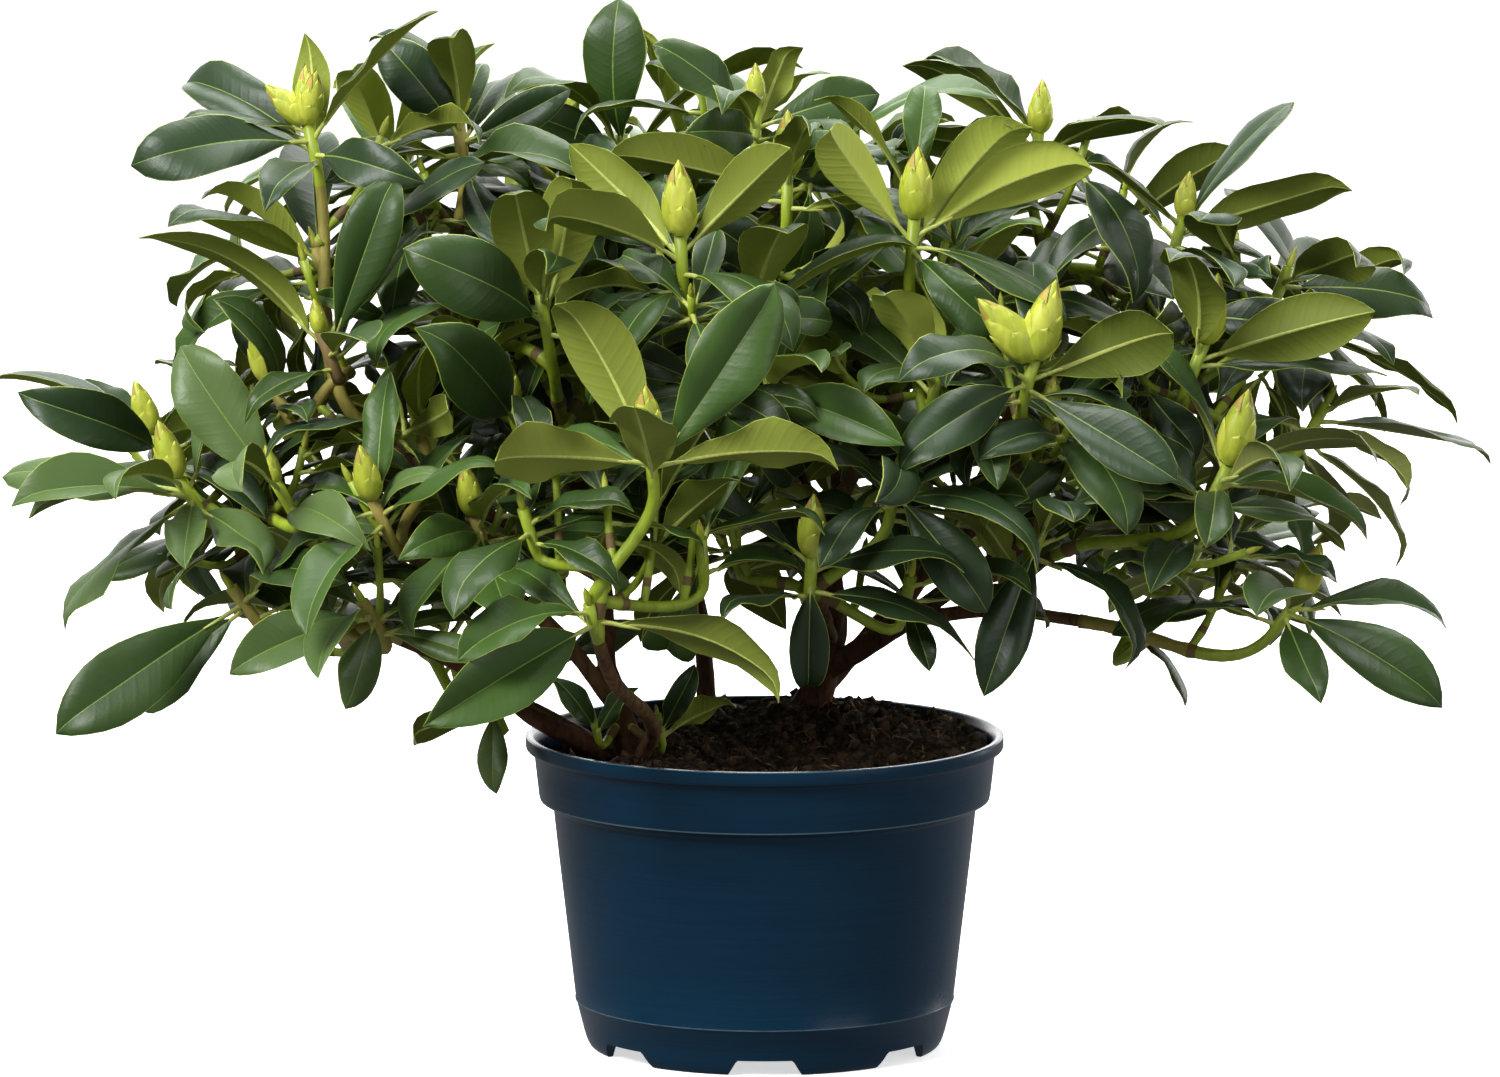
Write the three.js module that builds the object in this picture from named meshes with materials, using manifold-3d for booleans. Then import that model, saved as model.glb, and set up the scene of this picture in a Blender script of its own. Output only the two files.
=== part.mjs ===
// A young rhododendron of about seven litres, standing in its nursery pot.
// Millimetres, +Z up, the front towards -Y. The origin is the middle of the pot's underside.

import * as THREE from "three";
import { mergeVertices } from "three/addons/utils/BufferGeometryUtils.js";
import Module from "manifold-3d";

const wasm = await Module();
wasm.setup();

const CLEARANCE = 0.3; // between solids that touch
const SLIVER = 0.02; // edges shorter than this are closed up

// ---------------------------------------------------------------- driving dimensions

const pot = {
  height: 171,
  rimRadius: 130,
  rimDepth: 7.5,
  rimRound: 1.2,
  rimWidth: 3,
  bandRadius: 125.6, // under the rim; the band narrows to its ledge
  ledgeRadius: 122.6,
  ledgeHeight: 137,
  wallTopRadius: 115.4,
  wallTopHeight: 132.5,
  seamRadius: 103,
  seamHeight: 26,
  footRadius: 95,
  footRound: 5, // how high the foot's rounded edge reaches
  footBulge: 2.5, // and how far out
  skirt: 3.5, // the foot's thickness
  wall: 2.6,
  drainHeight: 9, // the floor's height over the notches, and the notches' own
  drainWidth: 30,
  drainSpread: 12, // how much wider a notch is at the ground
  drainDepth: 30,
  notches: 7,
  hubRadius: 44, // the flat disc in the middle that stands on the ground
  hubSlope: 3,
  segments: 36,
};
const bandTop = pot.height - pot.rimDepth - 0.8;
const soil = { top: pot.height - 8, edgeDrop: 4, edgeWidth: 6 };

const crown = {
  centre: new THREE.Vector3(0, 10, 0),
  halfWidth: 410,
  halfDepth: 300,
  lowTips: 226, // leaders reach lower, where the plan puts them
  highTips: 578,
  lowShoots: 200,
  highShoots: 520,
};

const leaf = {
  length: 97,
  widthShare: 0.42, // width over length
  petioleShare: 0.12,
  keel: 1.9, // how far the midrib stands out below
  keelAt: 0.4,
  fold: 5, // degrees each half is raised from flat
  bend: 36, // degrees the tip turns down from the root's direction
  stations: [0.32, 0.74], // where along a leaf its outline has corners
  outlineGain: 1.12, // makes up for the few corners
};
const bud = {
  width: 0.54, // over length
  sides: 5,
  upturn: 0.9, // how far it turns up from its shoot's end
  spread: [1.05, 0.15], // how far the first and the last of several lean out
};
const whorl = {
  leaves: [6, 8],
  rise: [4, 36], // degrees, of the lowest and the highest shoots
  youngRise: 30, // degrees more for the youngest leaf
  oldRise: -24, // and less for the oldest
  top: 7, // how far below the shoot's end the youngest leaf sits
  span: 16, // and how much lower the oldest
  leaderAge: 0.3, // of the first leader; each next one is older by leaderStep
  leaderStep: 0.15,
};
const twig = {
  sides: 3,
  steps: 2, // in its bend
  straight: 26, // the end that carries the leaves
  stemRadius: 3.9,
  shootRadius: 3.3,
  tipRadius: 2.9,
  sunkRadius: 0.8, // where it starts, inside another twig
};
const wood = {
  buried: 12, // how far below the soil's top a stem is drawn before its flat cut
  flareReach: 12, // how far up a stem's foot is thickened
  stout: 5.9, // limbs thicker than this have more sides
  stoutSides: 7,
  slimSides: 5,
};
const GOLDEN_ANGLE = 137.508;

// ---------------------------------------------------------------- small helpers

const v = (x, y, z) => new THREE.Vector3(x, y, z);
const radians = THREE.MathUtils.degToRad;
const { lerp, clamp, smoothstep } = THREE.MathUtils;

// Repeatable random numbers from 0 to 1.
function randomFrom(seed) {
  let state = seed >>> 0;
  return () => {
    state = (state + 0x6d2b79f5) >>> 0;
    let mixed = state;
    mixed = Math.imul(mixed ^ (mixed >>> 15), mixed | 1);
    mixed ^= mixed + Math.imul(mixed ^ (mixed >>> 7), mixed | 61);
    return ((mixed ^ (mixed >>> 14)) >>> 0) / 4294967296;
  };
}

// A closed three.js geometry as a manifold-3d solid.
function solidOf(geometry, weld = 1e-4) {
  const bare = geometry.clone();
  bare.deleteAttribute("normal");
  bare.deleteAttribute("uv");
  const merged = mergeVertices(bare, weld);
  return new wasm.Manifold(
    new wasm.Mesh({
      numProp: 3,
      vertProperties: merged.attributes.position.array,
      triVerts: new Uint32Array(merged.index.array),
    }),
  );
}

function geometryOf(solid) {
  const mesh = solid.getMesh();
  return new THREE.BufferGeometry()
    .setAttribute("position", new THREE.BufferAttribute(mesh.vertProperties, 3))
    .setIndex(new THREE.BufferAttribute(mesh.triVerts, 1));
}

// Moves every vertex of a geometry to place(x, y, z).
function reshaped(geometry, place) {
  const points = geometry.attributes.position;
  for (let i = 0; i < points.count; i++) {
    const moved = place(points.getX(i), points.getY(i), points.getZ(i));
    points.setXYZ(i, moved.x, moved.y, moved.z);
  }
  return geometry;
}

// A bar that runs through points, closed at both ends. radiusAt(t) is its radius, t from 0 to 1.
function bar(points, radiusAt, sides) {
  const steps = points.length - 1;
  const along = points.map((_, i) =>
    points[Math.min(i + 1, steps)].clone().sub(points[Math.max(i - 1, 0)]).normalize(),
  );
  const level = Math.abs(along[0].z) > 0.9 ? v(1, 0, 0) : v(0, 0, 1);
  const across = [level.cross(along[0]).normalize()];
  for (let i = 1; i <= steps; i++) {
    const turned = new THREE.Quaternion().setFromUnitVectors(along[i - 1], along[i]);
    across.push(across[i - 1].clone().applyQuaternion(turned));
  }
  return reshaped(new THREE.CylinderGeometry(1, 1, steps, sides, steps), (x, y, z) => {
    const step = Math.round(steps / 2 - y);
    const radius = radiusAt(step / steps);
    return points[step]
      .clone()
      .addScaledVector(across[step], x * radius)
      .addScaledVector(along[step].clone().cross(across[step]), z * radius);
  });
}

// ---------------------------------------------------------------- pot and soil

const ring = (r, z) => new THREE.Vector2(r, z);

function potSolid() {
  const profile = [
    ring(0, 0),
    ring(pot.hubRadius, 0),
    ring(pot.hubRadius + pot.hubSlope, pot.drainHeight),
    ring(pot.footRadius - pot.skirt, pot.drainHeight),
    ring(pot.footRadius - pot.skirt, 0),
    ring(pot.footRadius, 0),
    ring(pot.footRadius + pot.footBulge, pot.footRound),
    ring(pot.seamRadius, pot.seamHeight),
    ring(pot.wallTopRadius, pot.wallTopHeight),
    ring(pot.ledgeRadius, pot.ledgeHeight),
    ring(pot.bandRadius, bandTop),
    ring(pot.rimRadius, pot.height - pot.rimDepth),
    ring(pot.rimRadius, pot.height - pot.rimRound),
    ring(pot.rimRadius - pot.rimWidth, pot.height),
    ...innerProfile(pot.wall),
    ring(0, pot.wall),
  ];
  const shell = solidOf(new THREE.LatheGeometry(profile, pot.segments).rotateX(Math.PI / 2));
  return notchCutters().reduce((rest, cutter) => rest.subtract(cutter), shell);
}

// The inside of the pot, from just under the rim down to the edge of the hub.
// wall is the distance from the outside, so a larger one gives what fits inside.
function innerProfile(wall) {
  const floor = pot.drainHeight + wall;
  const bendDrop = 0.5; // the inside turns a little higher than the outside
  return [
    ring(pot.bandRadius - wall, bandTop),
    ring(pot.ledgeRadius - wall, pot.ledgeHeight + bendDrop),
    ring(pot.wallTopRadius - wall, pot.wallTopHeight + bendDrop),
    ring(pot.footRadius + pot.footBulge - wall, floor),
    ring(pot.hubRadius + pot.hubSlope + 1 - wall, floor),
    ring(pot.hubRadius + 1 - wall, wall),
  ];
}

// Flared slots through the foot, wider at the ground.
function notchCutters() {
  const top = pot.drainWidth / 2;
  const bottom = top + pot.drainSpread / 2;
  const past = 2; // how far the cut reaches beyond the ground
  const ceiling = pot.drainHeight - 0.4; // just below the floor's underside
  const outline = new THREE.Shape([
    new THREE.Vector2(-bottom, -past),
    new THREE.Vector2(bottom, -past),
    new THREE.Vector2(top, ceiling),
    new THREE.Vector2(-top, ceiling),
  ]);
  const slot = new THREE.ExtrudeGeometry(outline, { depth: pot.drainDepth, bevelEnabled: false });
  slot.rotateX(Math.PI / 2).translate(0, pot.drainDepth / 2 - pot.footRadius, 0);
  return Array.from({ length: pot.notches }, (_, i) =>
    solidOf(slot.clone().rotateZ((i * 2 * Math.PI) / pot.notches)),
  );
}

function soilSolid() {
  const inside = innerProfile(pot.wall + CLEARANCE);
  const [band, ledge] = inside;
  const profile = [
    ring(0, pot.wall + CLEARANCE),
    ...inside.slice(1).reverse(),
    ring(lerp(ledge.x, band.x, 0.75), soil.top - soil.edgeDrop),
    ring(ledge.x - soil.edgeWidth, soil.top),
    ring(0, soil.top),
  ];
  return solidOf(new THREE.LatheGeometry(profile, pot.segments).rotateX(Math.PI / 2));
}

// ---------------------------------------------------------------- limbs

// The wood, from the soil outwards. A limb starts on the soil at foot, or on another limb a
// share of the way along it, and passes through its points to the tip.
const limbs = [
  { name: "trunk", foot: v(19, 75, 0), radii: [8.6, 5.8], flare: 1.05,
    through: [v(38, 62, 222), v(24, 32, 292)] },
  { name: "stock", foot: v(-72, -22, 0), radii: [7.6, 5.2], flare: 1.0,
    through: [v(-80, -20, 192), v(-86, -16, 212)] },
  { name: "back_stem", foot: v(-30, 84, 0), radii: [5, 3.6], flare: 0.4,
    through: [v(-38, 104, 232), v(-62, 128, 290)] },

  { name: "bough_left_low", on: "stock", share: 0.12, radii: [5.8, 3.6],
    through: [v(-122, -34, 184), v(-160, -50, 214), v(-200, -58, 234)] },
  { name: "bough_left_skirt", on: "stock", share: 0.1, radii: [4, 2.8],
    through: [v(-122, 8, 182), v(-146, 8, 192)] },
  { name: "bough_front", on: "stock", share: 0.05, radii: [4.4, 3.4],
    through: [v(-60, -64, 184), v(-82, -124, 222), v(-91, -162, 258)] },
  { name: "bough_left", on: "stock", share: 0.6, radii: [4.8, 3.6],
    through: [v(-120, -40, 240), v(-165, -58, 272)] },
  { name: "bough_upright", on: "stock", share: 0.97, radii: [5, 3.8],
    through: [v(-88, -16, 262), v(-102, -20, 318)] },
  { name: "bough_left_tip", on: "bough_left", share: 0.5, radii: [4, 3.2],
    through: [v(-176, -22, 282), v(-250, -36, 298)] },
  { name: "bough_left_upper", on: "bough_upright", share: 0.45, radii: [4.4, 3.4],
    through: [v(-160, -20, 300), v(-206, -38, 336)] },
  { name: "bough_upper_left", on: "bough_upright", share: 0.8, radii: [4, 3.2],
    through: [v(-132, 8, 356), v(-160, 16, 398)] },

  { name: "bough_right", on: "trunk", share: 0.3, radii: [6.4, 4.4],
    through: [v(74, 34, 226), v(112, 0, 258), v(138, -20, 278)] },
  { name: "bough_right_low", on: "bough_right", share: 0.42, radii: [4.4, 3.2],
    through: [v(128, 4, 238), v(176, -14, 234)] },
  { name: "bough_right_side", on: "bough_right", share: 0.7, radii: [4, 3.2],
    through: [v(140, -16, 264), v(160, -36, 276)] },
  { name: "bough_right_far", on: "bough_right", share: 0.62, radii: [4.4, 3.4],
    through: [v(176, 6, 304), v(214, 6, 346)] },
  { name: "bough_top_right", on: "bough_right", share: 0.3, radii: [4.8, 3.4],
    through: [v(120, 40, 306), v(152, 36, 392)] },
  { name: "bough_low_front", on: "trunk", share: 0.42, radii: [4, 3.2],
    through: [v(30, -20, 244), v(22, -72, 262)] },
  { name: "bough_centre_right", on: "trunk", share: 0.82, radii: [4.6, 3.4],
    through: [v(56, 6, 330), v(72, -12, 364)] },
  { name: "bough_centre", on: "trunk", share: 0.94, radii: [4.8, 3.4],
    through: [v(0, -14, 336), v(-14, -48, 366)] },
  { name: "bough_top", on: "trunk", share: 0.99, radii: [5, 3.4],
    through: [v(6, 36, 350), v(-16, 38, 424)] },
  { name: "bough_back", on: "trunk", share: 0.3, radii: [5.4, 3.6],
    through: [v(40, 112, 270), v(36, 142, 322)] },
  { name: "bough_back_right", on: "trunk", share: 0.2, radii: [5.4, 3.6],
    through: [v(96, 110, 250), v(150, 134, 292)] },
];

function limbCurve(limb, made) {
  const points = limb.through.map((p) => p.clone());
  if (limb.foot) points.unshift(v(limb.foot.x, limb.foot.y, soil.top - wood.buried));
  else points.unshift(made.get(limb.on).curve.getPointAt(limb.share));
  return new THREE.CatmullRomCurve3(points, false, "centripetal");
}

function limbPoints(limb, curve) {
  const spacing = limb.foot ? 24 : 36;
  return curve.getSpacedPoints(Math.max(3, Math.round(curve.getLength() / spacing)));
}

// The solid of a limb; grown is added to its radius.
function limbSolid(limb, curve, points, grown = 0) {
  const [start, end] = limb.radii;
  const length = curve.getLength();
  const sides = start > wood.stout ? wood.stoutSides : wood.slimSides;
  const radiusAt = (t) => {
    const past = Math.max(0, t * length - wood.buried);
    const flare = limb.foot ? 1 + limb.flare * Math.exp(-past / wood.flareReach) : 1;
    return lerp(start, end, t) * flare + grown;
  };
  return solidOf(bar(points, radiusAt, sides));
}

function growLimbs() {
  const belowSoil = solidOf(
    new THREE.BoxGeometry(400, 400, 200).translate(0, 0, soil.top + CLEARANCE - 100),
  );
  const made = new Map();
  for (const limb of limbs) {
    const curve = limbCurve(limb, made);
    const points = limbPoints(limb, curve);
    let solid = limbSolid(limb, curve, points);
    for (const earlier of made.values()) solid = solid.subtract(earlier.guard);
    solid = largest(solid.subtract(belowSoil));
    const leaving = points.at(-1).clone().sub(points.at(-2)).normalize();
    const guard = limbSolid(limb, curve, points, CLEARANCE);
    made.set(limb.name, { curve, tip: points.at(-1), leaving, solid, guard });
  }
  return made;
}

// What stays of a solid when a cut or a union has left scraps and slivers.
function largest(solid) {
  const closedUp = solidOf(geometryOf(solid.simplify(SLIVER)), 1e-3);
  return closedUp.decompose().reduce((a, b) => (a.volume() > b.volume() ? a : b));
}

// ---------------------------------------------------------------- the crown's plan

// A shoot ends in a whorl of leaves. It has flower buds of a length, and leaders: the leaves
// that make its outline, given by where their tips are and which way their upper sides look.
const shoot = (x, y, z, budLength = 0, buds = 1) =>
  ({ at: v(x, y, z), budLength, buds, leaders: [], lost: [] });
const led = (end, ...tips) => ({ ...end, leaders: tips });
const without = (end, ...lost) => ({ ...end, lost }); // the numbers of leaves that it has lost
const tip = (x, y, z) => ({ at: v(x, y, z), looks: null }); // along the shoot
const seen = (x, y, z, level = 0.45) => ({ at: v(x, y, z), looks: v(0, -1, level) });
const shaded = (x, y, z, level = 0.4) => ({ at: v(x, y, z), looks: v(0, 1, level) });
const slanted = (x, y, z, aside, level = 0.7) => ({ at: v(x, y, z), looks: v(aside, 1, level) });

// Each mass of foliage grows on from one bough.
const masses = [
  { name: "foliage_left_tip", bough: "bough_left_tip", shoots: [
    led(shoot(-316, -60, 321, 32),
      seen(-412, -40, 321, 1.6), seen(-400, -100, 312, 1.4), seen(-309, -120, 282)),
    led(shoot(-332, -6, 337, 30), tip(-407, 0, 386), seen(-400, -50, 366)),
    led(shoot(-286, 0, 300, 24), seen(-398, -30, 296, 1.6)),
    led(shoot(-262, -84, 322, 20), seen(-317, -60, 389)),
    shoot(-300, 50, 318),
  ] },
  { name: "foliage_left_low", bough: "bough_left_low", shoots: [
    led(shoot(-286, -72, 262), seen(-381, -115, 193), seen(-344, -40, 193)),
    shoot(-240, -20, 244),
    led(shoot(-214, -120, 262), seen(-285, -150, 229), seen(-222, -170, 214)),
  ] },
  { name: "foliage_left_skirt", bough: "bough_left_skirt", shoots: [
    led(shoot(-152, -6, 196), seen(-148, -24, 142), shaded(-195, -30, 175)),
    shoot(-184, 40, 212),
  ] },
  { name: "foliage_left_front", bough: "bough_left", shoots: [
    shoot(-209, -122, 318, 30),
    led(shoot(-156, -94, 306, 28), seen(-137, -170, 262), seen(-192, -150, 295)),
    shoot(-188, -60, 352),
    shoot(-142, -34, 322),
  ] },
  { name: "foliage_left_upper", bough: "bough_left_upper", shoots: [
    led(shoot(-246, -20, 508, 30, 3),
      seen(-338, -60, 489), seen(-317, 30, 523, 2.0), shaded(-251, -30, 566), seen(-184, -70, 484)),
    led(shoot(-238, -66, 400, 18), shaded(-331, -95, 455, 1.5), seen(-199, -74, 486)),
    led(shoot(-266, -40, 370, 36), seen(-330, -60, 420, 1.5)),
    led(shoot(-242, -24, 440), tip(-300, -50, 478)),
  ] },
  { name: "foliage_upper_left", bough: "bough_upper_left", shoots: [
    led(shoot(-166, 8, 509, 30), seen(-160, 24, 552), seen(-209, 14, 550), seen(-103, 0, 522)),
    shoot(-204, 62, 478),
    shoot(-128, 52, 470),
    shoot(-176, 66, 400),
  ] },
  { name: "foliage_centre_left", bough: "bough_upright", shoots: [
    led(shoot(-120, -82, 422), shaded(-130, -122, 488), shaded(-100, -104, 490), seen(-188, -134, 453)),
    led(shoot(-136, -60, 360, 26), seen(-176, -142, 410)),
    shoot(-168, -14, 428),
    shoot(-96, -10, 402),
  ] },
  { name: "foliage_front", bough: "bough_front", shoots: [
    led(without(shoot(-61, -196, 356, 34), 2),
      shaded(-144, -240, 352), shaded(40, -200, 355), seen(8, -190, 440), shaded(-106, -180, 434),
      slanted(-48, -178, 462, -1.5), shaded(-62, -250, 402)),
    led(without(shoot(-93, -176, 269), 1), shaded(13, -200, 222, 2.0), seen(-180, -235, 218)),
    shoot(-128, -150, 316),
    led(without(shoot(-34, -150, 300), 2, 4), seen(-58, -96, 214)),
  ] },
  { name: "foliage_low_front", bough: "bough_low_front", shoots: [
    led(without(shoot(25, -118, 287, 34), 1), tip(107, -150, 290), seen(21, -96, 207)),
    led(shoot(78, -84, 270), seen(87, -112, 224)),
    shoot(-16, -66, 300),
    led(shoot(70, -110, 330), seen(118, -150, 268)),
  ] },
  { name: "foliage_top", bough: "bough_top", shoots: [
    led(shoot(-78, 58, 492), seen(-83, 50, 567), seen(-134, 20, 508)),
    led(shoot(-5, 20, 513, 22),
      seen(-60, 0, 548), seen(62, 30, 520), shaded(14, 34, 546), seen(-40, -38, 504),
      seen(38, -34, 500)),
    led(shoot(12, -20, 480, 34), shaded(-88, -36, 508, 1.0)),
    shoot(-40, 90, 470),
  ] },
  { name: "foliage_centre", bough: "bough_centre", shoots: [
    led(shoot(-45, -112, 458, 40),
      shaded(16, -140, 506), shaded(-108, -100, 504), shaded(-119, -170, 478), seen(-78, -70, 510)),
    led(shoot(-9, -64, 416, 22), shaded(12, -130, 486)),
    led(shoot(2, -98, 380), seen(73, -162, 353)),
  ] },
  { name: "foliage_centre_right", bough: "bough_centre_right", shoots: [
    led(shoot(80, -62, 461, 38), shaded(176, -90, 497), shaded(30, -90, 510), shaded(140, -40, 510),
      seen(130, -92, 398)),
    shoot(98, -12, 420),
    shoot(52, 42, 440),
    led(shoot(92, -76, 380), shaded(60, -130, 430)),
  ] },
  { name: "foliage_top_right", bough: "bough_top_right", shoots: [
    led(shoot(149, 40, 496, 28),
      shaded(76, 40, 535, 2.0), tip(205, 40, 505), shaded(68, -20, 501, 1.5)),
    led(shoot(227, 22, 452, 24), shaded(318, 20, 471, 0.9)),
    led(shoot(190, 66, 444), shaded(258, 70, 486), seen(228, -20, 396)),
    shoot(128, 84, 440),
  ] },
  { name: "foliage_right_front", bough: "bough_right", shoots: [
    led(shoot(143, -112, 392, 44, 2),
      shaded(78, -125, 432), shaded(217, -135, 408), seen(66, -152, 342), seen(216, -156, 330)),
    shoot(152, -56, 352, 24),
    led(shoot(150, -84, 300), seen(114, -110, 210, 0.2)),
  ] },
  { name: "foliage_right_side", bough: "bough_right_side", shoots: [
    led(shoot(248, -90, 332, 42),
      shaded(328, -110, 346, 2.0), tip(322, -110, 296), seen(234, -150, 298)),
    shoot(236, -40, 300),
  ] },
  { name: "foliage_right_far", bough: "bough_right_far", shoots: [
    led(shoot(236, -48, 392, 38), shaded(326, -65, 414)),
    led(shoot(284, 20, 424), seen(366, 20, 404)),
    shoot(306, 64, 396),
    led(shoot(304, 0, 352), tip(398, 30, 322), shaded(352, -30, 306, 1.2)),
  ] },
  { name: "foliage_right_low", bough: "bough_right_low", shoots: [
    led(shoot(289, -60, 257, 30), tip(369, -50, 240), seen(364, -95, 202), seen(296, -104, 196)),
    led(shoot(204, 6, 236), tip(229, -20, 190)),
    shoot(236, 40, 266),
  ] },
  { name: "foliage_back_left", bough: "back_stem", shoots: [
    shoot(-150, 168, 396, 32),
    shoot(-96, 196, 330),
    shoot(-210, 130, 320, 28),
    shoot(-60, 160, 420, 30),
    shoot(-250, 76, 290),
  ] },
  { name: "foliage_back", bough: "bough_back", shoots: [
    shoot(20, 196, 380, 36),
    shoot(40, 130, 450, 34),
    shoot(-24, 214, 290),
    shoot(78, 208, 300, 30),
  ] },
  { name: "foliage_back_right", bough: "bough_back_right", shoots: [
    shoot(162, 182, 374, 34),
    shoot(222, 150, 330, 30),
    shoot(156, 204, 276),
    shoot(262, 104, 270),
  ] },
];

// ---------------------------------------------------------------- shoots and leaves

// The way a shoot's end points: up, and outwards more the lower it is.
function shootAxis(at) {
  const height = (at.z - crown.lowShoots) / (crown.highShoots - crown.lowShoots);
  const lean = lerp(1.15, 0.3, clamp(height, 0, 1));
  const out = v((at.x - crown.centre.x) / crown.halfWidth, (at.y - crown.centre.y) / crown.halfDepth, 0);
  return out.multiplyScalar(lean).add(v(0, 0, 1)).normalize();
}

// Where the leaf of a given age sits on its shoot: the oldest, of age 1, is the lowest.
const leafRoot = (end, age) =>
  end.at.clone().addScaledVector(shootAxis(end.at), -whorl.top - whorl.span * age);

// Every leaf of a whorl, the youngest first. Leaves spiral down the shoot by the golden angle.
function whorlLeaves(end, index) {
  const axis = shootAxis(end.at);
  const random = randomFrom(7919 * (index + 1));
  const vary = (by) => by * (2 * random() - 1);
  const height = clamp((end.at.z - crown.lowShoots) / (crown.highShoots - crown.lowShoots), 0, 1);
  const count = Math.max(3, Math.round(lerp(...whorl.leaves, random())) - end.leaders.length);
  const start = 360 * random();
  const rise = lerp(...whorl.rise, height) + vary(6);
  const size = leaf.length * (1 + vary(0.1));
  const across = v(1, 0, 0).projectOnPlane(axis).normalize();
  return Array.from({ length: count }, (_, k) => {
    const age = k / (count - 1);
    return tiltedLeaf({
      root: leafRoot(end, age),
      axis,
      out: across.clone().applyAxisAngle(axis, radians(start + k * GOLDEN_ANGLE + vary(9))),
      rise: rise + lerp(whorl.youngRise, whorl.oldRise, smoothstep(age, 0, 1)) + vary(10),
      roll: vary(16),
      length: size * lerp(0.72, 1.05, Math.sin((0.18 + 0.62 * age) * Math.PI)) * (1 + vary(0.12)),
      bend: leaf.bend * (1 + vary(0.7)),
    });
  }).filter((_, k) => !end.lost.includes(k));
}

// The leaders of a whorl. A bent leaf's tip lies half its bend below the way its root points.
function leaderLeaves(end, index) {
  const axis = shootAxis(end.at);
  const random = randomFrom(104729 * (index + 1));
  const vary = (by) => by * (2 * random() - 1);
  return end.leaders.map(({ at, looks }, k) => {
    const root = leafRoot(end, whorl.leaderAge + whorl.leaderStep * k);
    const reach = at.clone().sub(root);
    const chord = reach.clone().normalize();
    const bend = leaf.bend * (0.9 + vary(0.5));
    const half = radians(bend / 2);
    const face = (looks ?? axis).clone().projectOnPlane(chord).normalize();
    face.applyAxisAngle(chord, radians(vary(20)));
    const { along, up } = leant(chord, face, half);
    return leafAt({ root, axis, along, up, length: (reach.length() * half) / Math.sin(half), bend });
  });
}

// Two directions at a right angle, leant by an angle so that along rises towards up.
const leant = (along, up, angle) => ({
  along: along.clone().multiplyScalar(Math.cos(angle)).addScaledVector(up, Math.sin(angle)),
  up: up.clone().multiplyScalar(Math.cos(angle)).addScaledVector(along, -Math.sin(angle)),
});

// A leaf that points out from its shoot, raised by an angle and rolled by another.
function tiltedLeaf({ root, axis, out, rise, roll, length, bend }) {
  const { along, up } = leant(out, axis, radians(rise));
  up.applyAxisAngle(along, radians(roll));
  return leafAt({ root, axis, along, up, length, bend });
}

// The frame of a leaf: along is its direction at the root, up the side that faces the light.
const leafAt = (one) => ({ ...one, side: one.up.clone().cross(one.along) });

// The same leaf raised and turned by angles, and made larger or smaller.
function changedLeaf(one, { rise, turn, size }) {
  const { along, up } = leant(one.along, one.up, radians(rise));
  for (const way of [along, up]) way.applyAxisAngle(one.axis, radians(turn));
  return leafAt({ ...one, along, up, length: one.length * size });
}

// Half the leaf's width at t, from root to tip, over its greatest half width.
function outline(t) {
  const blade = (t - leaf.petioleShare) / (1 - leaf.petioleShare);
  return blade <= 0 ? 0 : Math.sin(Math.PI * Math.min(blade, 1) ** 1.15) ** 0.85;
}

// A point of the leaf: t along it, side from -1 to 1 across it, lift off the blade.
function leafPoint(one, t, side, lift = 0) {
  const total = Math.max(1e-3, radians(one.bend));
  const turn = total * t;
  const width = (side * one.length * leaf.widthShare) / 2;
  const raised = Math.abs(width) * Math.sin(radians(leaf.fold)) + lift;
  return one.root
    .clone()
    .addScaledVector(one.along, (one.length * Math.sin(turn)) / total + raised * Math.sin(turn))
    .addScaledVector(one.up, (-one.length * (1 - Math.cos(turn))) / total + raised * Math.cos(turn))
    .addScaledVector(one.side, width * Math.cos(radians(leaf.fold)));
}

// A leaf of ten faces: an outline of six points, flat above, with a keel below. from is where
// it starts, as a share of its length; grown makes it larger all round, to test what it would
// touch.
function leafSolid(one, from = 0, grown = 0) {
  const wide = (t) => outline(t) * leaf.outlineGain + grown * 0.08;
  const [low, high] = leaf.stations.map((t) => lerp(from, 1, t));
  const corners = [
    leafPoint(one, from, 0),
    leafPoint(one, low, -wide(low), grown),
    leafPoint(one, high, -wide(high), grown),
    leafPoint(one, 1 + grown / one.length, 0, grown),
    leafPoint(one, high, wide(high), grown),
    leafPoint(one, low, wide(low), grown),
    leafPoint(one, lerp(from, 1, leaf.keelAt), 0, -leaf.keel - grown),
  ];
  const upper = [0, 1, 5, 1, 2, 5, 2, 4, 5, 2, 3, 4];
  const lower = [0, 1, 2, 3, 4, 5].flatMap((i) => [i, 6, (i + 1) % 6]);
  return solidOf(new THREE.BufferGeometry().setFromPoints(corners).setIndex([...upper, ...lower]));
}

// A bud: round below, drawn out to a point.
function budSolid(at, axis, length) {
  const half = (length * bud.width) / 2;
  const profile = [
    ring(0, -length * 0.1),
    ring(half * 0.9, length * 0.16),
    ring(half, length * 0.46),
    ring(0, length),
  ];
  const shape = new THREE.LatheGeometry(profile, bud.sides).rotateX(Math.PI / 2);
  shape.applyQuaternion(new THREE.Quaternion().setFromUnitVectors(v(0, 0, 1), axis));
  return solidOf(shape.translate(at.x, at.y, at.z));
}

// The axes of the buds on one shoot, which turn up from its end. Of several, the first leans most.
function budAxes(end) {
  const axis = shootAxis(end.at).add(v(0, 0, bud.upturn)).normalize();
  if (end.buds === 1) return [axis];
  return Array.from({ length: end.buds }, (_, i) => {
    const turn = (2 * Math.PI * i) / end.buds + Math.PI;
    const spread = lerp(...bud.spread, i / (end.buds - 1));
    return axis.clone().add(v(Math.cos(turn) * spread, Math.sin(turn) * spread * 0.6, 0)).normalize();
  });
}

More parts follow.
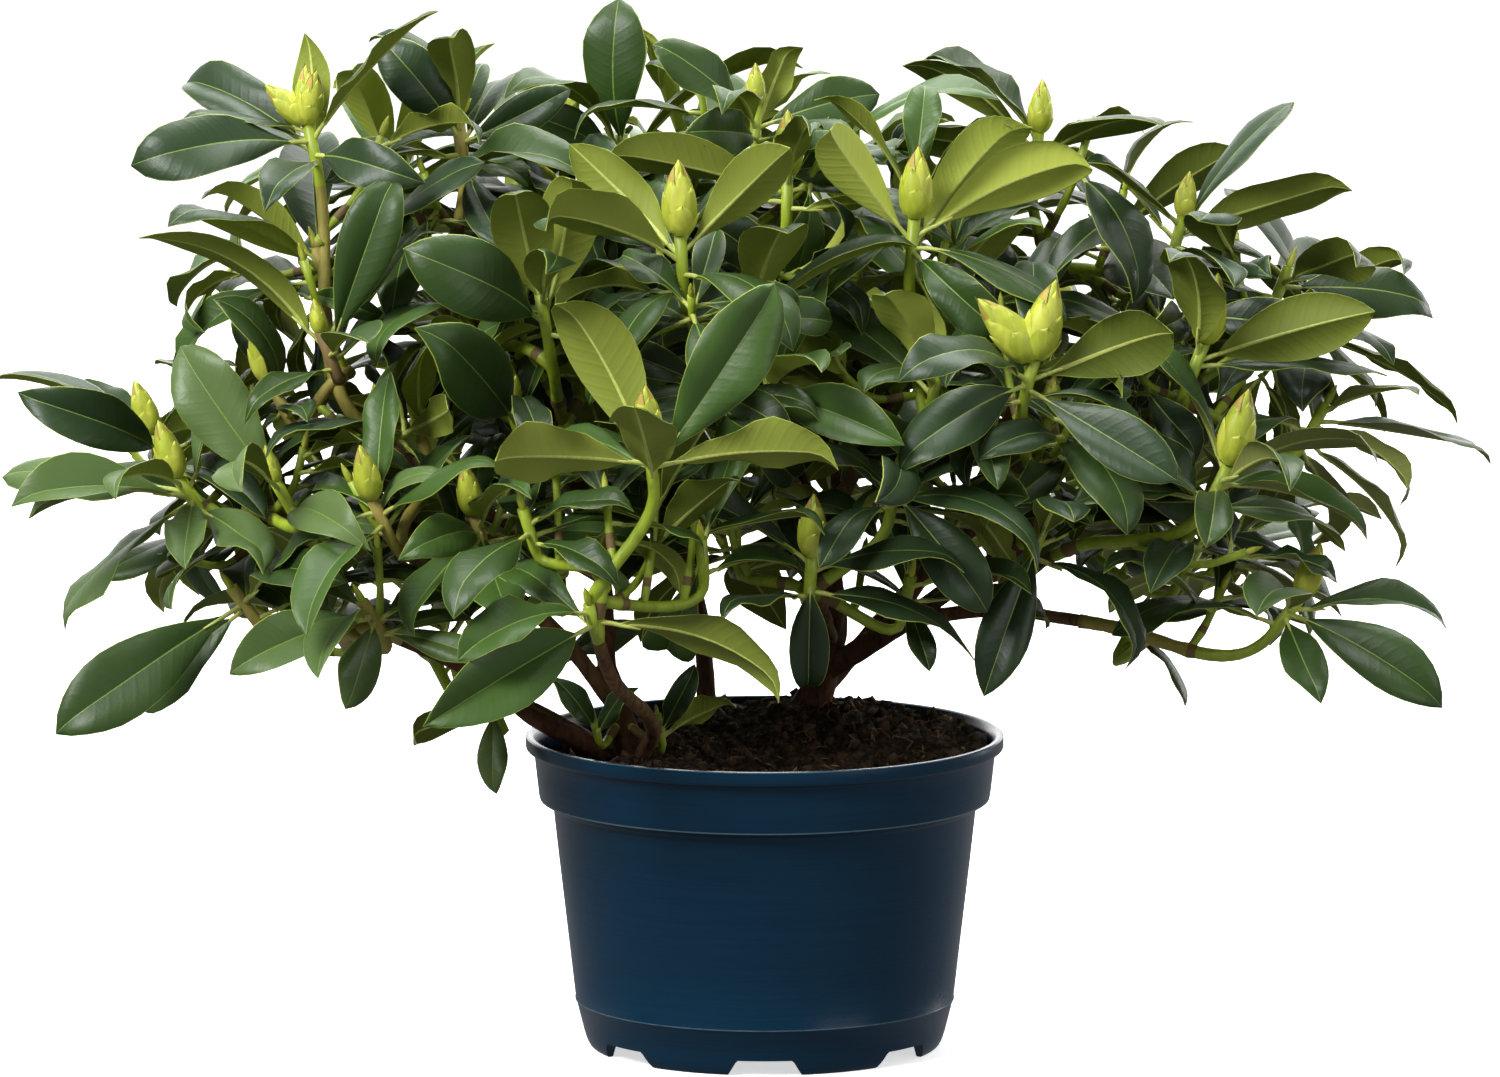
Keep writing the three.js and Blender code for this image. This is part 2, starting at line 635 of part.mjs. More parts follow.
// ---------------------------------------------------------------- twigs of a mass

// The middle line of a twig: it leaves in one direction, bends, and ends in a straight part
// that carries its leaves.
function twigLine(from, leaving, end) {
  const axis = shootAxis(end.at);
  const knee = end.at.clone().addScaledVector(axis, -twig.straight);
  const pull = from.distanceTo(knee) * 0.38;
  const bend = new THREE.CubicBezierCurve3(
    from,
    from.clone().addScaledVector(leaving, pull),
    knee.clone().addScaledVector(axis, -pull),
    knee,
  );
  return [...bend.getSpacedPoints(twig.steps), end.at];
}

// The stem and the shoots of a mass. The stem runs straight out of the bough, and on to the
// first shoot's end. Each other shoot leaves it, or a shoot before it, where that is nearest.
function massTwigs(mass, made) {
  const { tip, leaving } = made.get(mass.bough);
  const start = tip.clone().addScaledVector(leaving, CLEARANCE);
  const lines = [];
  for (const end of mass.shoots) {
    if (lines.length) {
      const { from, direction } = nearestFork(lines, end.at);
      lines.push(twigLine(from, direction, end));
    } else {
      const out = start.clone().addScaledVector(leaving, twig.stemRadius);
      lines.push([start, ...twigLine(out, leaving, end)]);
    }
  }
  return lines.map((points, i) => {
    const first = i === 0 ? twig.stemRadius : twig.shootRadius;
    const radiusAt = (t) => (i > 0 && t === 0 ? twig.sunkRadius : lerp(first, twig.tipRadius, t));
    return solidOf(bar(points, radiusAt, twig.sides));
  });
}

// Where a new shoot leaves the twigs so far: near its own end, and below it.
function nearestFork(lines, end) {
  let best = null;
  for (const points of lines) {
    for (let i = 0; i < points.length - 2; i++) {
      if (points[i].distanceTo(points[i + 1]) < 3 * twig.stemRadius) continue;
      const from = points[i].clone().lerp(points[i + 1], 0.5);
      const fall = Math.max(0, from.z - end.z + 30);
      const cost = from.distanceTo(end) + 1.5 * fall;
      if (best === null || cost < best.cost) {
        const onward = end.clone().sub(from).normalize();
        const along = points[i + 1].clone().sub(points[i]).normalize();
        best = { cost, from, direction: along.lerp(onward, 0.6).normalize() };
      }
    }
  }
  return best;
}

// ---------------------------------------------------------------- growing the crown

const touches = (solid, box, others) =>
  others.some((other) => box.intersectsBox(other.box) && !solid.intersect(other.solid).isEmpty());

function boxOf(solid) {
  const { min, max } = solid.boundingBox();
  return new THREE.Box3(v(...min), v(...max));
}

const withBox = (solid) => ({ solid, box: boxOf(solid) });

// Whether a leaf stays inside the crown's own reach.
function insideCrown(one) {
  const end = leafPoint(one, 1, 0);
  return (
    end.z > crown.lowTips &&
    end.z < crown.highTips &&
    Math.abs(end.x - crown.centre.x) < crown.halfWidth &&
    Math.abs(end.y - crown.centre.y) < crown.halfDepth
  );
}

// A leaf in the way is turned or shortened a little, and left out if that doesn't clear it.
const attempts = [
  { rise: 0, turn: 0, size: 1 },
  { rise: 13, turn: 0, size: 1 },
  { rise: -13, turn: 0, size: 1 },
  { rise: 0, turn: 16, size: 0.95 },
  { rise: 0, turn: -16, size: 0.95 },
  { rise: 24, turn: 8, size: 0.85 },
  { rise: -22, turn: -8, size: 0.85 },
  { rise: 8, turn: 0, size: 0.7 },
];

function placedLeaf(wanted, own, foreign, isLeader) {
  for (const change of attempts) {
    const one = changedLeaf(wanted, change);
    if (!isLeader && !insideCrown(one)) continue;
    const whole = leafSolid(one, 0, 0.8);
    if (touches(whole, boxOf(whole), foreign)) continue;
    const blade = leafSolid(one, 0.15, 0.6);
    if (touches(blade, boxOf(blade), own)) continue;
    return leafSolid(one);
  }
  return null;
}

function growCrown(made, fixed) {
  const skeletons = masses.map((mass) => ({
    mass,
    pieces: [
      ...massTwigs(mass, made),
      ...mass.shoots.flatMap((end) =>
        end.budLength ? budAxes(end).map((axis) => budSolid(end.at, axis, end.budLength)) : [],
      ),
    ].map(withBox),
  }));
  const grown = skeletons.map(({ pieces }) => pieces.map((p) => p.solid));
  const leaves = skeletons.map(() => []);
  for (const leavesOf of [leaderLeaves, whorlLeaves]) {
    let index = 0;
    skeletons.forEach(({ mass, pieces }, m) => {
      for (const end of mass.shoots) {
        for (const wanted of leavesOf(end, index)) {
          const foreign = [
            ...fixed,
            ...skeletons.flatMap((other, i) => (i === m ? [] : other.pieces)),
            ...leaves.flatMap((list, i) => (i === m ? [] : list)),
          ];
          const own = [...pieces, ...leaves[m]];
          const placed = placedLeaf(wanted, own, foreign, leavesOf === leaderLeaves);
          if (!placed) continue;
          grown[m].push(placed);
          leaves[m].push(withBox(placed));
        }
        index += 1;
      }
    });
  }
  return grown.map((pieces, m) => ({
    name: masses[m].name,
    solid: largest(wasm.Manifold.union(pieces)),
  }));
}

// ---------------------------------------------------------------- the plant

const finish = (color, roughness) => new THREE.MeshStandardMaterial({ color, roughness, metalness: 0 });
const materials = {
  plastic: finish(0x14283c, 0.35),
  soil: finish(0x2a1c12, 0.95),
  bark: finish(0x5a3524, 0.85),
  foliage: finish(0x3c6b2e, 0.5),
};

const plant = new THREE.Group();

function add(name, solid, material) {
  const mesh = new THREE.Mesh(geometryOf(solid), material);
  mesh.name = name;
  plant.add(mesh);
}

const potShape = potSolid();
const soilShape = soilSolid();
const grownLimbs = growLimbs();
const limbSolids = [...grownLimbs.values()].map((limb) => limb.solid);
const fixed = [potShape, soilShape, ...limbSolids].map(withBox);

add("pot", potShape, materials.plastic);
add("soil", soilShape, materials.soil);
for (const [name, limb] of grownLimbs) add(name, limb.solid, materials.bark);
for (const mass of growCrown(grownLimbs, fixed)) add(mass.name, mass.solid, materials.foliage);

export default plant;
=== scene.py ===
"""The looks of a potted rhododendron, grown by the part's own rule and carried to finer shoots.

Lengths are in millimetres, as in the part's source, until a mesh is made.
"""

import math
from dataclasses import dataclass, field

import bpy
import numpy as np
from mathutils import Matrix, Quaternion, noise
from mathutils import Vector as V
from mathutils.bvhtree import BVHTree


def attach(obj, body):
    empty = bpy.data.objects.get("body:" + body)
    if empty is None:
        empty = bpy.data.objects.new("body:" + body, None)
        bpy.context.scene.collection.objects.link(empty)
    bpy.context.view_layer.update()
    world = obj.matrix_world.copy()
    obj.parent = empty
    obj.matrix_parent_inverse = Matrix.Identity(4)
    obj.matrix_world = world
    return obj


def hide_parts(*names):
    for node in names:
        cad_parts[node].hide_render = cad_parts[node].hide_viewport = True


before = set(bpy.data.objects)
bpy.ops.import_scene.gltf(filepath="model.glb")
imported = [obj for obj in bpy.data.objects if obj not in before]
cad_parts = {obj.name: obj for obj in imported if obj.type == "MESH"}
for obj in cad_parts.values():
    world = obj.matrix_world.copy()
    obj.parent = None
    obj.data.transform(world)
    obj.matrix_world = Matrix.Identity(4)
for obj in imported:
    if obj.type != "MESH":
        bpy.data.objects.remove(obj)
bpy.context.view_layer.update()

MM = 0.001
GOLDEN_ANGLE = 137.508

# ---- sizes, as in the part's source

POT_HEIGHT = 171
RIM_RADIUS = 130
RIM_DEPTH = 7.5
BAND_RADIUS = 125.6
BAND_TOP = 162.7
LEDGE_RADIUS = 122.6
LEDGE_HEIGHT = 137
WALL_TOP_RADIUS = 115.4
WALL_TOP_HEIGHT = 132.5
SEAM_RADIUS = 103
SEAM_HEIGHT = 26
FOOT_RADIUS = 95
FOOT_ROUND = 5
FOOT_BULGE = 2.5
SKIRT = 3.5
WALL = 2.6
DRAIN_HEIGHT = 9
DRAIN_WIDTH = 30
DRAIN_SPREAD = 12
DRAIN_DEPTH = 30
NOTCHES = 7
HUB_RADIUS = 44
HUB_SLOPE = 3
SOIL_TOP = 163
STEM_BURIED = 12
FLARE_REACH = 12

CROWN_CENTRE = V((0, 10, 0))
HALF_WIDTH = 410
HALF_DEPTH = 300
LOW_TIPS = 226
HIGH_TIPS = 578
LOW_SHOOTS = 200
HIGH_SHOOTS = 520

LEAF_LENGTH = 97
WIDTH_SHARE = 0.42
PETIOLE_SHARE = 0.12
KEEL = 1.9
KEEL_AT = 0.4
FOLD = 5
BEND = 36
STATIONS = (0.32, 0.74)
OUTLINE_GAIN = 1.12
BUD_WIDTH = 0.54
STRAIGHT = 26
STEM_RADIUS = 3.9
SHOOT_RADIUS = 3.3
TIP_RADIUS = 2.9
CLEARANCE = 0.3
TWIG_PULL = 0.38

WHORL_LEAVES = (6, 8)
WHORL_RISE = (4, 36)  # degrees, on the lowest shoots and on the highest
YOUNG_RISE = 30  # degrees, added for the youngest leaf of a whorl
OLD_RISE = -24  # degrees, added for its oldest leaf
WHORL_TOP = 7
WHORL_SPAN = 16
LEADER_AGE = 0.3
LEADER_STEP = 0.15
SLANT_LEVEL = 0.7
BUD_UPTURN = 0.9
BUD_SPREAD = (1.05, 0.15)  # of several buds, from the first to the last

# The random numbers of each rule start from its own seed.
WHORL_SEED = 7919
LEADER_SEED = 104729
SIDE_SHOOT_SEED = 15485863
OLDER_SEED = 32452843
TINT_SEED = 67867967
RING_SEED = 27644437
LEAF_SEED = 9973
CRUMB_SEED = 4

# ---- small helpers


def placed(name, data):
    """A new object with a mesh, lamp or camera, in the scene."""
    made = bpy.data.objects.new(name, data)
    bpy.context.collection.objects.link(made)
    return made


def solid(name, points, faces):
    """A new object with points in metres and faces of any number of corners."""
    mesh = bpy.data.meshes.new(name)
    mesh.from_pydata(points, [], faces)
    return placed(name, mesh)


def lerp(a, b, share):
    return a + (b - a) * share


def clamp(value, low=0.0, high=1.0):
    return min(max(value, low), high)


def smoothstep(value):
    value = clamp(value)
    return value * value * (3 - 2 * value)


def unit(vector):
    return vector / np.linalg.norm(vector)


def seeded(seed):
    """Repeatable random numbers from 0 to 1, the same ones as in the part's source."""
    state = seed & 0xFFFFFFFF

    def draw():
        nonlocal state
        state = (state + 0x6D2B79F5) & 0xFFFFFFFF
        mixed = state
        mixed = ((mixed ^ (mixed >> 15)) * (mixed | 1)) & 0xFFFFFFFF
        mixed ^= (mixed + ((mixed ^ (mixed >> 7)) * (mixed | 61))) & 0xFFFFFFFF
        return ((mixed ^ (mixed >> 14)) & 0xFFFFFFFF) / 4294967296

    return draw


def dice(seed):
    """Seeded draws from 0 to 1, and the same draws as a change of up to an amount either way."""
    draw = seeded(seed)
    return draw, lambda by: by * (2 * draw() - 1)


def pick(choices, draw):
    """One of some choices, by a draw from 0 to 1."""
    return choices[int(draw * len(choices))]


def round_half_up(value):
    return int(math.floor(value + 0.5))


def array_of(points):
    return np.array([tuple(p) for p in points], float)


def on_plane(vector, axis):
    """The part of a vector that is square to an axis."""
    return (vector - axis * vector.dot(axis)).normalized()


def turned(vector, axis, degrees):
    return Quaternion(axis, math.radians(degrees)) @ vector


# ---- curves


class Route:
    """A smooth line through points, which can be asked for the point a share of the way along."""

    DIVISIONS = 200

    def __init__(self, point_at):
        shares = np.linspace(0, 1, self.DIVISIONS + 1)
        self.samples = np.array([point_at(s) for s in shares])
        steps = np.linalg.norm(np.diff(self.samples, axis=0), axis=1)
        self.reached = np.concatenate([[0], np.cumsum(steps)])
        self.length = self.reached[-1]

    def at(self, share):
        wanted = share * self.length
        return V([np.interp(wanted, self.reached, self.samples[:, i]) for i in range(3)])

    def spaced(self, count):
        return [self.at(i / count) for i in range(count + 1)]


def through_points(points):
    """A centripetal Catmull-Rom line through points."""
    points = [np.array(p) for p in points]
    ends = [2 * points[0] - points[1]], [2 * points[-1] - points[-2]]
    full = ends[0] + points + ends[1]

    def point_at(share):
        place = share * (len(points) - 1)
        piece = min(int(place), len(points) - 2)
        return catmull_rom(full[piece : piece + 4], place - piece)

    return Route(point_at)


def catmull_rom(four, t):
    p0, p1, p2, p3 = four
    d0, d1, d2 = (math.sqrt(np.linalg.norm(b - a)) for a, b in ((p0, p1), (p1, p2), (p2, p3)))
    m1 = ((p1 - p0) / d0 - (p2 - p0) / (d0 + d1) + (p2 - p1) / d1) * d1
    m2 = ((p2 - p1) / d1 - (p3 - p1) / (d1 + d2) + (p3 - p2) / d2) * d1
    c2 = 3 * (p2 - p1) - 2 * m1 - m2
    c3 = 2 * (p1 - p2) + m1 + m2
    return p1 + m1 * t + c2 * t**2 + c3 * t**3


def bezier(a, b, c, d):
    a, b, c, d = (np.array(p) for p in (a, b, c, d))

    def point_at(t):
        s = 1 - t
        return a * s**3 + 3 * b * s * s * t + 3 * c * s * t * t + d * t**3

    return Route(point_at)


# ---- the plan


@dataclass
class Limb:
    """A stem, which starts at x and y in the soil, or a bough, which starts on another limb."""

    name: str
    start: object
    radii: tuple
    through: tuple
    flare: float = 0.0
    share: float = 0.0

    def is_stem(self):
        return isinstance(self.start, tuple)


def stem(name, foot, flare, radii, *through):
    """A limb that stands in the soil and widens at its foot."""
    return Limb(name, foot, radii, through, flare=flare)


def bough(name, on, share, radii, *through):
    """A limb that leaves another a share of the way along it."""
    return Limb(name, on, radii, through, share=share)


LIMBS = [
    stem("trunk", (19, 75), 1.05, (8.6, 5.8), (38, 62, 222), (24, 32, 292)),
    stem("stock", (-72, -22), 1.0, (7.6, 5.2), (-80, -20, 192), (-86, -16, 212)),
    stem("back_stem", (-30, 84), 0.4, (5, 3.6), (-38, 104, 232), (-62, 128, 290)),
    bough("bough_left_low", "stock", 0.12, (5.8, 3.6),
          (-122, -34, 184), (-160, -50, 214), (-200, -58, 234)),
    bough("bough_left_skirt", "stock", 0.1, (4, 2.8), (-122, 8, 182), (-146, 8, 192)),
    bough("bough_front", "stock", 0.05, (4.4, 3.4),
          (-60, -64, 184), (-82, -124, 222), (-91, -162, 258)),
    bough("bough_left", "stock", 0.6, (4.8, 3.6), (-120, -40, 240), (-165, -58, 272)),
    bough("bough_upright", "stock", 0.97, (5, 3.8), (-88, -16, 262), (-102, -20, 318)),
    bough("bough_left_tip", "bough_left", 0.5, (4, 3.2), (-176, -22, 282), (-250, -36, 298)),
    bough("bough_left_upper", "bough_upright", 0.45, (4.4, 3.4), (-160, -20, 300), (-206, -38, 336)),
    bough("bough_upper_left", "bough_upright", 0.8, (4, 3.2), (-132, 8, 356), (-160, 16, 398)),
    bough("bough_right", "trunk", 0.3, (6.4, 4.4), (74, 34, 226), (112, 0, 258), (138, -20, 278)),
    bough("bough_right_low", "bough_right", 0.42, (4.4, 3.2), (128, 4, 238), (176, -14, 234)),
    bough("bough_right_side", "bough_right", 0.7, (4, 3.2), (140, -16, 264), (160, -36, 276)),
    bough("bough_right_far", "bough_right", 0.62, (4.4, 3.4), (176, 6, 304), (214, 6, 346)),
    bough("bough_top_right", "bough_right", 0.3, (4.8, 3.4), (120, 40, 306), (152, 36, 392)),
    bough("bough_low_front", "trunk", 0.42, (4, 3.2), (30, -20, 244), (22, -72, 262)),
    bough("bough_centre_right", "trunk", 0.82, (4.6, 3.4), (56, 6, 330), (72, -12, 364)),
    bough("bough_centre", "trunk", 0.94, (4.8, 3.4), (0, -14, 336), (-14, -48, 366)),
    bough("bough_top", "trunk", 0.99, (5, 3.4), (6, 36, 350), (-16, 38, 424)),
    bough("bough_back", "trunk", 0.3, (5.4, 3.6), (40, 112, 270), (36, 142, 322)),
    bough("bough_back_right", "trunk", 0.2, (5.4, 3.6), (96, 110, 250), (150, 134, 292)),
]


class Tip:
    """Where a leader's tip is, and which way its upper side looks: None is along the shoot."""

    def __init__(self, at, looks=None):
        self.at = V(at)
        self.looks = looks


def seen(x, y, z, level=0.45):
    """A leader that shows its upper side in front, the less the more level it is."""
    return Tip((x, y, z), V((0, -1, level)))


def shaded(x, y, z, level=0.4):
    """A leader that shows its underside in front."""
    return Tip((x, y, z), V((0, 1, level)))


def slanted(x, y, z, aside):
    """A leader that shows its underside at a slant."""
    return Tip((x, y, z), V((aside, 1, SLANT_LEVEL)))


class Shoot:
    """A shoot that ends in a whorl of leaves, with flower buds and leaders as in the source."""

    def __init__(self, at, bud_length=0, buds=1, tips=(), lost=(), size=1.0, axis=None):
        self.at = V(at)
        self.bud_length = bud_length
        self.buds = buds
        self.leaders = [tip if isinstance(tip, Tip) else Tip(tip) for tip in tips]
        self.lost = lost
        self.size = size
        self.axis = axis or shoot_axis(self.at)


OUTWARD_LEAN = (1.15, 0.3)  # of the lowest shoots and of the highest


def shoot_axis(at):
    """The way a shoot's end points: up, and outwards more the lower it is."""
    lean = lerp(*OUTWARD_LEAN, shoot_height(at))
    out = V(((at.x - CROWN_CENTRE.x) / HALF_WIDTH, (at.y - CROWN_CENTRE.y) / HALF_DEPTH, 0))
    return (out * lean + V((0, 0, 1))).normalized()


def shoot_height(at):
    return clamp((at.z - LOW_SHOOTS) / (HIGH_SHOOTS - LOW_SHOOTS))


# Each mass of foliage: its name, the limb that carries it, and its shoots.
MASSES = [
    ("left_tip", "bough_left_tip", [
        Shoot((-316, -60, 321), 32, tips=[
            seen(-412, -40, 321, 1.6), seen(-400, -100, 312, 1.4), seen(-309, -120, 282)]),
        Shoot((-332, -6, 337), 30, tips=[(-407, 0, 386), seen(-400, -50, 366)]),
        Shoot((-286, 0, 300), 24, tips=[seen(-398, -30, 296, 1.6)]),
        Shoot((-262, -84, 322), 20, tips=[seen(-317, -60, 389)]),
        Shoot((-300, 50, 318)),
    ]),
    ("left_low", "bough_left_low", [
        Shoot((-286, -72, 262), tips=[seen(-381, -115, 193), seen(-344, -40, 193)]),
        Shoot((-240, -20, 244)),
        Shoot((-214, -120, 262), tips=[seen(-285, -150, 229), seen(-222, -170, 214)]),
    ]),
    ("left_skirt", "bough_left_skirt", [
        Shoot((-152, -6, 196), tips=[seen(-148, -24, 142), shaded(-195, -30, 175)]),
        Shoot((-184, 40, 212)),
    ]),
    ("left_front", "bough_left", [
        Shoot((-209, -122, 318), 30),
        Shoot((-156, -94, 306), 28, tips=[seen(-137, -170, 262), seen(-192, -150, 295)]),
        Shoot((-188, -60, 352)),
        Shoot((-142, -34, 322)),
    ]),
    ("left_upper", "bough_left_upper", [
        Shoot((-246, -20, 508), 30, 3, tips=[
            seen(-338, -60, 489), seen(-317, 30, 523, 2.0), shaded(-251, -30, 566),
            seen(-184, -70, 484)]),
        Shoot((-238, -66, 400), 18, tips=[shaded(-331, -95, 455, 1.5), seen(-199, -74, 486)]),
        Shoot((-266, -40, 370), 36, tips=[seen(-330, -60, 420, 1.5)]),
        Shoot((-242, -24, 440), tips=[(-300, -50, 478)]),
    ]),
    ("upper_left", "bough_upper_left", [
        Shoot((-166, 8, 509), 30, tips=[seen(-160, 24, 552), seen(-209, 14, 550), seen(-103, 0, 522)]),
        Shoot((-204, 62, 478)),
        Shoot((-128, 52, 470)),
        Shoot((-176, 66, 400)),
    ]),
    ("centre_left", "bough_upright", [
        Shoot((-120, -82, 422), tips=[
            shaded(-130, -122, 488), shaded(-100, -104, 490), seen(-188, -134, 453)]),
        Shoot((-136, -60, 360), 26, tips=[seen(-176, -142, 410)]),
        Shoot((-168, -14, 428)),
        Shoot((-96, -10, 402)),
    ]),
    ("front", "bough_front", [
        Shoot((-61, -196, 356), 34, lost=[2], tips=[
            shaded(-144, -240, 352), shaded(40, -200, 355), seen(8, -190, 440),
            shaded(-106, -180, 434), slanted(-48, -178, 462, -1.5), shaded(-62, -250, 402)]),
        Shoot((-93, -176, 269), lost=[1], tips=[shaded(13, -200, 222, 2.0), seen(-180, -235, 218)]),
        Shoot((-128, -150, 316)),
        Shoot((-34, -150, 300), lost=[2, 4], tips=[seen(-58, -96, 214)]),
    ]),
    ("low_front", "bough_low_front", [
        Shoot((25, -118, 287), 34, lost=[1], tips=[(107, -150, 290), seen(21, -96, 207)]),
        Shoot((78, -84, 270), tips=[seen(87, -112, 224)]),
        Shoot((-16, -66, 300)),
        Shoot((70, -110, 330), tips=[seen(118, -150, 268)]),
    ]),
    ("top", "bough_top", [
        Shoot((-78, 58, 492), tips=[seen(-83, 50, 567), seen(-134, 20, 508)]),
        Shoot((-5, 20, 513), 22, tips=[
            seen(-60, 0, 548), seen(62, 30, 520), shaded(14, 34, 546), seen(-40, -38, 504),
            seen(38, -34, 500)]),
        Shoot((12, -20, 480), 34, tips=[shaded(-88, -36, 508, 1.0)]),
        Shoot((-40, 90, 470)),
    ]),
    ("centre", "bough_centre", [
        Shoot((-45, -112, 458), 40, tips=[
            shaded(16, -140, 506), shaded(-108, -100, 504), shaded(-119, -170, 478),
            seen(-78, -70, 510)]),
        Shoot((-9, -64, 416), 22, tips=[shaded(12, -130, 486)]),
        Shoot((2, -98, 380), tips=[seen(73, -162, 353)]),
    ]),
    ("centre_right", "bough_centre_right", [
        Shoot((80, -62, 461), 38, tips=[
            shaded(176, -90, 497), shaded(30, -90, 510), shaded(140, -40, 510),
            seen(130, -92, 398)]),
        Shoot((98, -12, 420)),
        Shoot((52, 42, 440)),
        Shoot((92, -76, 380), tips=[shaded(60, -130, 430)]),
    ]),
    ("top_right", "bough_top_right", [
        Shoot((149, 40, 496), 28, tips=[
            shaded(76, 40, 535, 2.0), (205, 40, 505), shaded(68, -20, 501, 1.5)]),
        Shoot((227, 22, 452), 24, tips=[shaded(318, 20, 471, 0.9)]),
        Shoot((190, 66, 444), tips=[shaded(258, 70, 486), seen(228, -20, 396)]),
        Shoot((128, 84, 440)),
    ]),
    ("right_front", "bough_right", [
        Shoot((143, -112, 392), 44, 2, tips=[
            shaded(78, -125, 432), shaded(217, -135, 408), seen(66, -152, 342),
            seen(216, -156, 330)]),
        Shoot((152, -56, 352), 24),
        Shoot((150, -84, 300), tips=[seen(114, -110, 210, 0.2)]),
    ]),
    ("right_side", "bough_right_side", [
        Shoot((248, -90, 332), 42, tips=[
            shaded(328, -110, 346, 2.0), (322, -110, 296), seen(234, -150, 298)]),
        Shoot((236, -40, 300)),
    ]),
    ("right_far", "bough_right_far", [
        Shoot((236, -48, 392), 38, tips=[shaded(326, -65, 414)]),
        Shoot((284, 20, 424), tips=[seen(366, 20, 404)]),
        Shoot((306, 64, 396)),
        Shoot((304, 0, 352), tips=[(398, 30, 322), shaded(352, -30, 306, 1.2)]),
    ]),
    ("right_low", "bough_right_low", [
        Shoot((289, -60, 257), 30, tips=[(369, -50, 240), seen(364, -95, 202), seen(296, -104, 196)]),
        Shoot((204, 6, 236), tips=[(229, -20, 190)]),
        Shoot((236, 40, 266)),
    ]),
    ("back_left", "back_stem", [
        Shoot((-150, 168, 396), 32),
        Shoot((-96, 196, 330)),
        Shoot((-210, 130, 320), 28),
        Shoot((-60, 160, 420), 30),
        Shoot((-250, 76, 290)),
    ]),
    ("back", "bough_back", [
        Shoot((20, 196, 380), 36),
        Shoot((40, 130, 450), 34),
        Shoot((-24, 214, 290)),
        Shoot((78, 208, 300), 30),
    ]),
    ("back_right", "bough_back_right", [
        Shoot((162, 182, 374), 34),
        Shoot((222, 150, 330), 30),
        Shoot((156, 204, 276)),
        Shoot((262, 104, 270)),
    ]),
]

MASS_NODES = [f"foliage_{name}" for name, _, _ in MASSES]

# Small shoots from the stock, which the source leaves out. They belong to the mass in front.
BASAL_MASS = [name for name, _, _ in MASSES].index("front")
BASAL_SHARE = 0.45  # of the way up the stock
BASAL_SHOOTS = [
    Shoot((-58, -50, 190), tips=[seen(-36, -64, 217), shaded(-16, -60, 200, 0.8)], size=0.5),
    Shoot((-94, -52, 192), tips=[seen(-112, -66, 212), seen(-74, -70, 206)], size=0.5),
]

# ---- meshes


class Heap:
    """Triangles of many small shapes, gathered into one mesh. Each face has a material's number."""

    def __init__(self):
        self.points = []
        self.faces = []
        self.finishes = []
        self.marks = []
        self.count = 0

    def add(self, points, faces, finishes, marks=None):
        points = np.asarray(points, float)
        faces = np.asarray(faces, int)
        self.points.append(points)
        self.faces.append(faces + self.count)
        self.finishes.append(np.broadcast_to(finishes, len(faces)))
        self.marks.append(np.zeros((len(points), 2)) if marks is None else marks)
        self.count += len(points)

    def piece(self, name, materials):
        """The gathered shapes as one object, which rides on the plant's body."""
        points = np.concatenate(self.points) * MM
        faces = np.concatenate(self.faces)
        finishes = np.concatenate(self.finishes)
        marks = np.concatenate(self.marks)
        mesh = bpy.data.meshes.new(name)
        mesh.vertices.add(len(points))
        mesh.vertices.foreach_set("co", points.ravel())
        mesh.loops.add(faces.size)
        mesh.loops.foreach_set("vertex_index", faces.ravel())
        mesh.polygons.add(len(faces))
        mesh.polygons.foreach_set("loop_start", np.arange(0, faces.size, 3))
        mesh.polygons.foreach_set("material_index", finishes.astype(np.int32))
        mesh.polygons.foreach_set("use_smooth", np.ones(len(faces), bool))
        layer = mesh.uv_layers.new(name="OFBake")
        layer.uv.foreach_set("vector", marks[faces.ravel()].ravel())
        for material in materials:
            mesh.materials.append(material)
        mesh.update()
        mesh.validate()
        made = placed(name, mesh)
        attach(made, "root")
        return made


def grid_faces(rows, columns, closed=False):
    """Two triangles for each cell of a grid of points, row by row."""
    last = columns if closed else columns - 1
    row, column = np.meshgrid(np.arange(rows - 1), np.arange(last), indexing="ij")
    here = row * columns + column
    beside = row * columns + (column + 1) % columns
    a, b, c, d = (x.ravel() for x in (here, beside, beside + columns, here + columns))
    return np.stack([np.stack([a, b, c], 1), np.stack([a, c, d], 1)], 1).reshape(-1, 3)


def directions_across(points):
    """Two directions across a line of points, square to each other and carried on without a twist."""
    along = np.gradient(points, axis=0)
    along /= np.linalg.norm(along, axis=1)[:, None]
    level = (1, 0, 0) if abs(along[0][2]) > 0.9 else (0, 0, 1)
    across = [unit(np.cross(level, along[0]))]
    for direction in along[1:]:
        across.append(unit(across[-1] - direction * np.dot(across[-1], direction)))
    across = np.array(across)
    return across, np.cross(along, across)


def tube(points, radii, sides):
    """A closed tube. radii has one radius for each point, or one for each point and side."""
    points = array_of(points)
    radii = np.asarray(radii, float)
    if radii.ndim == 1:
        radii = np.repeat(radii[:, None], sides, 1)
    across, other = directions_across(points)
    turn = np.arange(sides) * 2 * math.pi / sides
    rings = across[:, None] * np.cos(turn)[None, :, None]
    rings = rings + other[:, None] * np.sin(turn)[None, :, None]
    skin = points[:, None] + rings * radii[..., None]
    rows = len(points)
    skin = np.vstack([skin.reshape(-1, 3), points[0], points[-1]])
    first, last = rows * sides, rows * sides + 1
    side = np.arange(sides)
    after = (side + 1) % sides
    base = (rows - 1) * sides
    start_cap = np.stack([np.full(sides, first), after, side], 1)
    end_cap = np.stack([np.full(sides, last), base + side, base + after], 1)
    return skin, np.vstack([grid_faces(rows, sides, True), start_cap, end_cap])


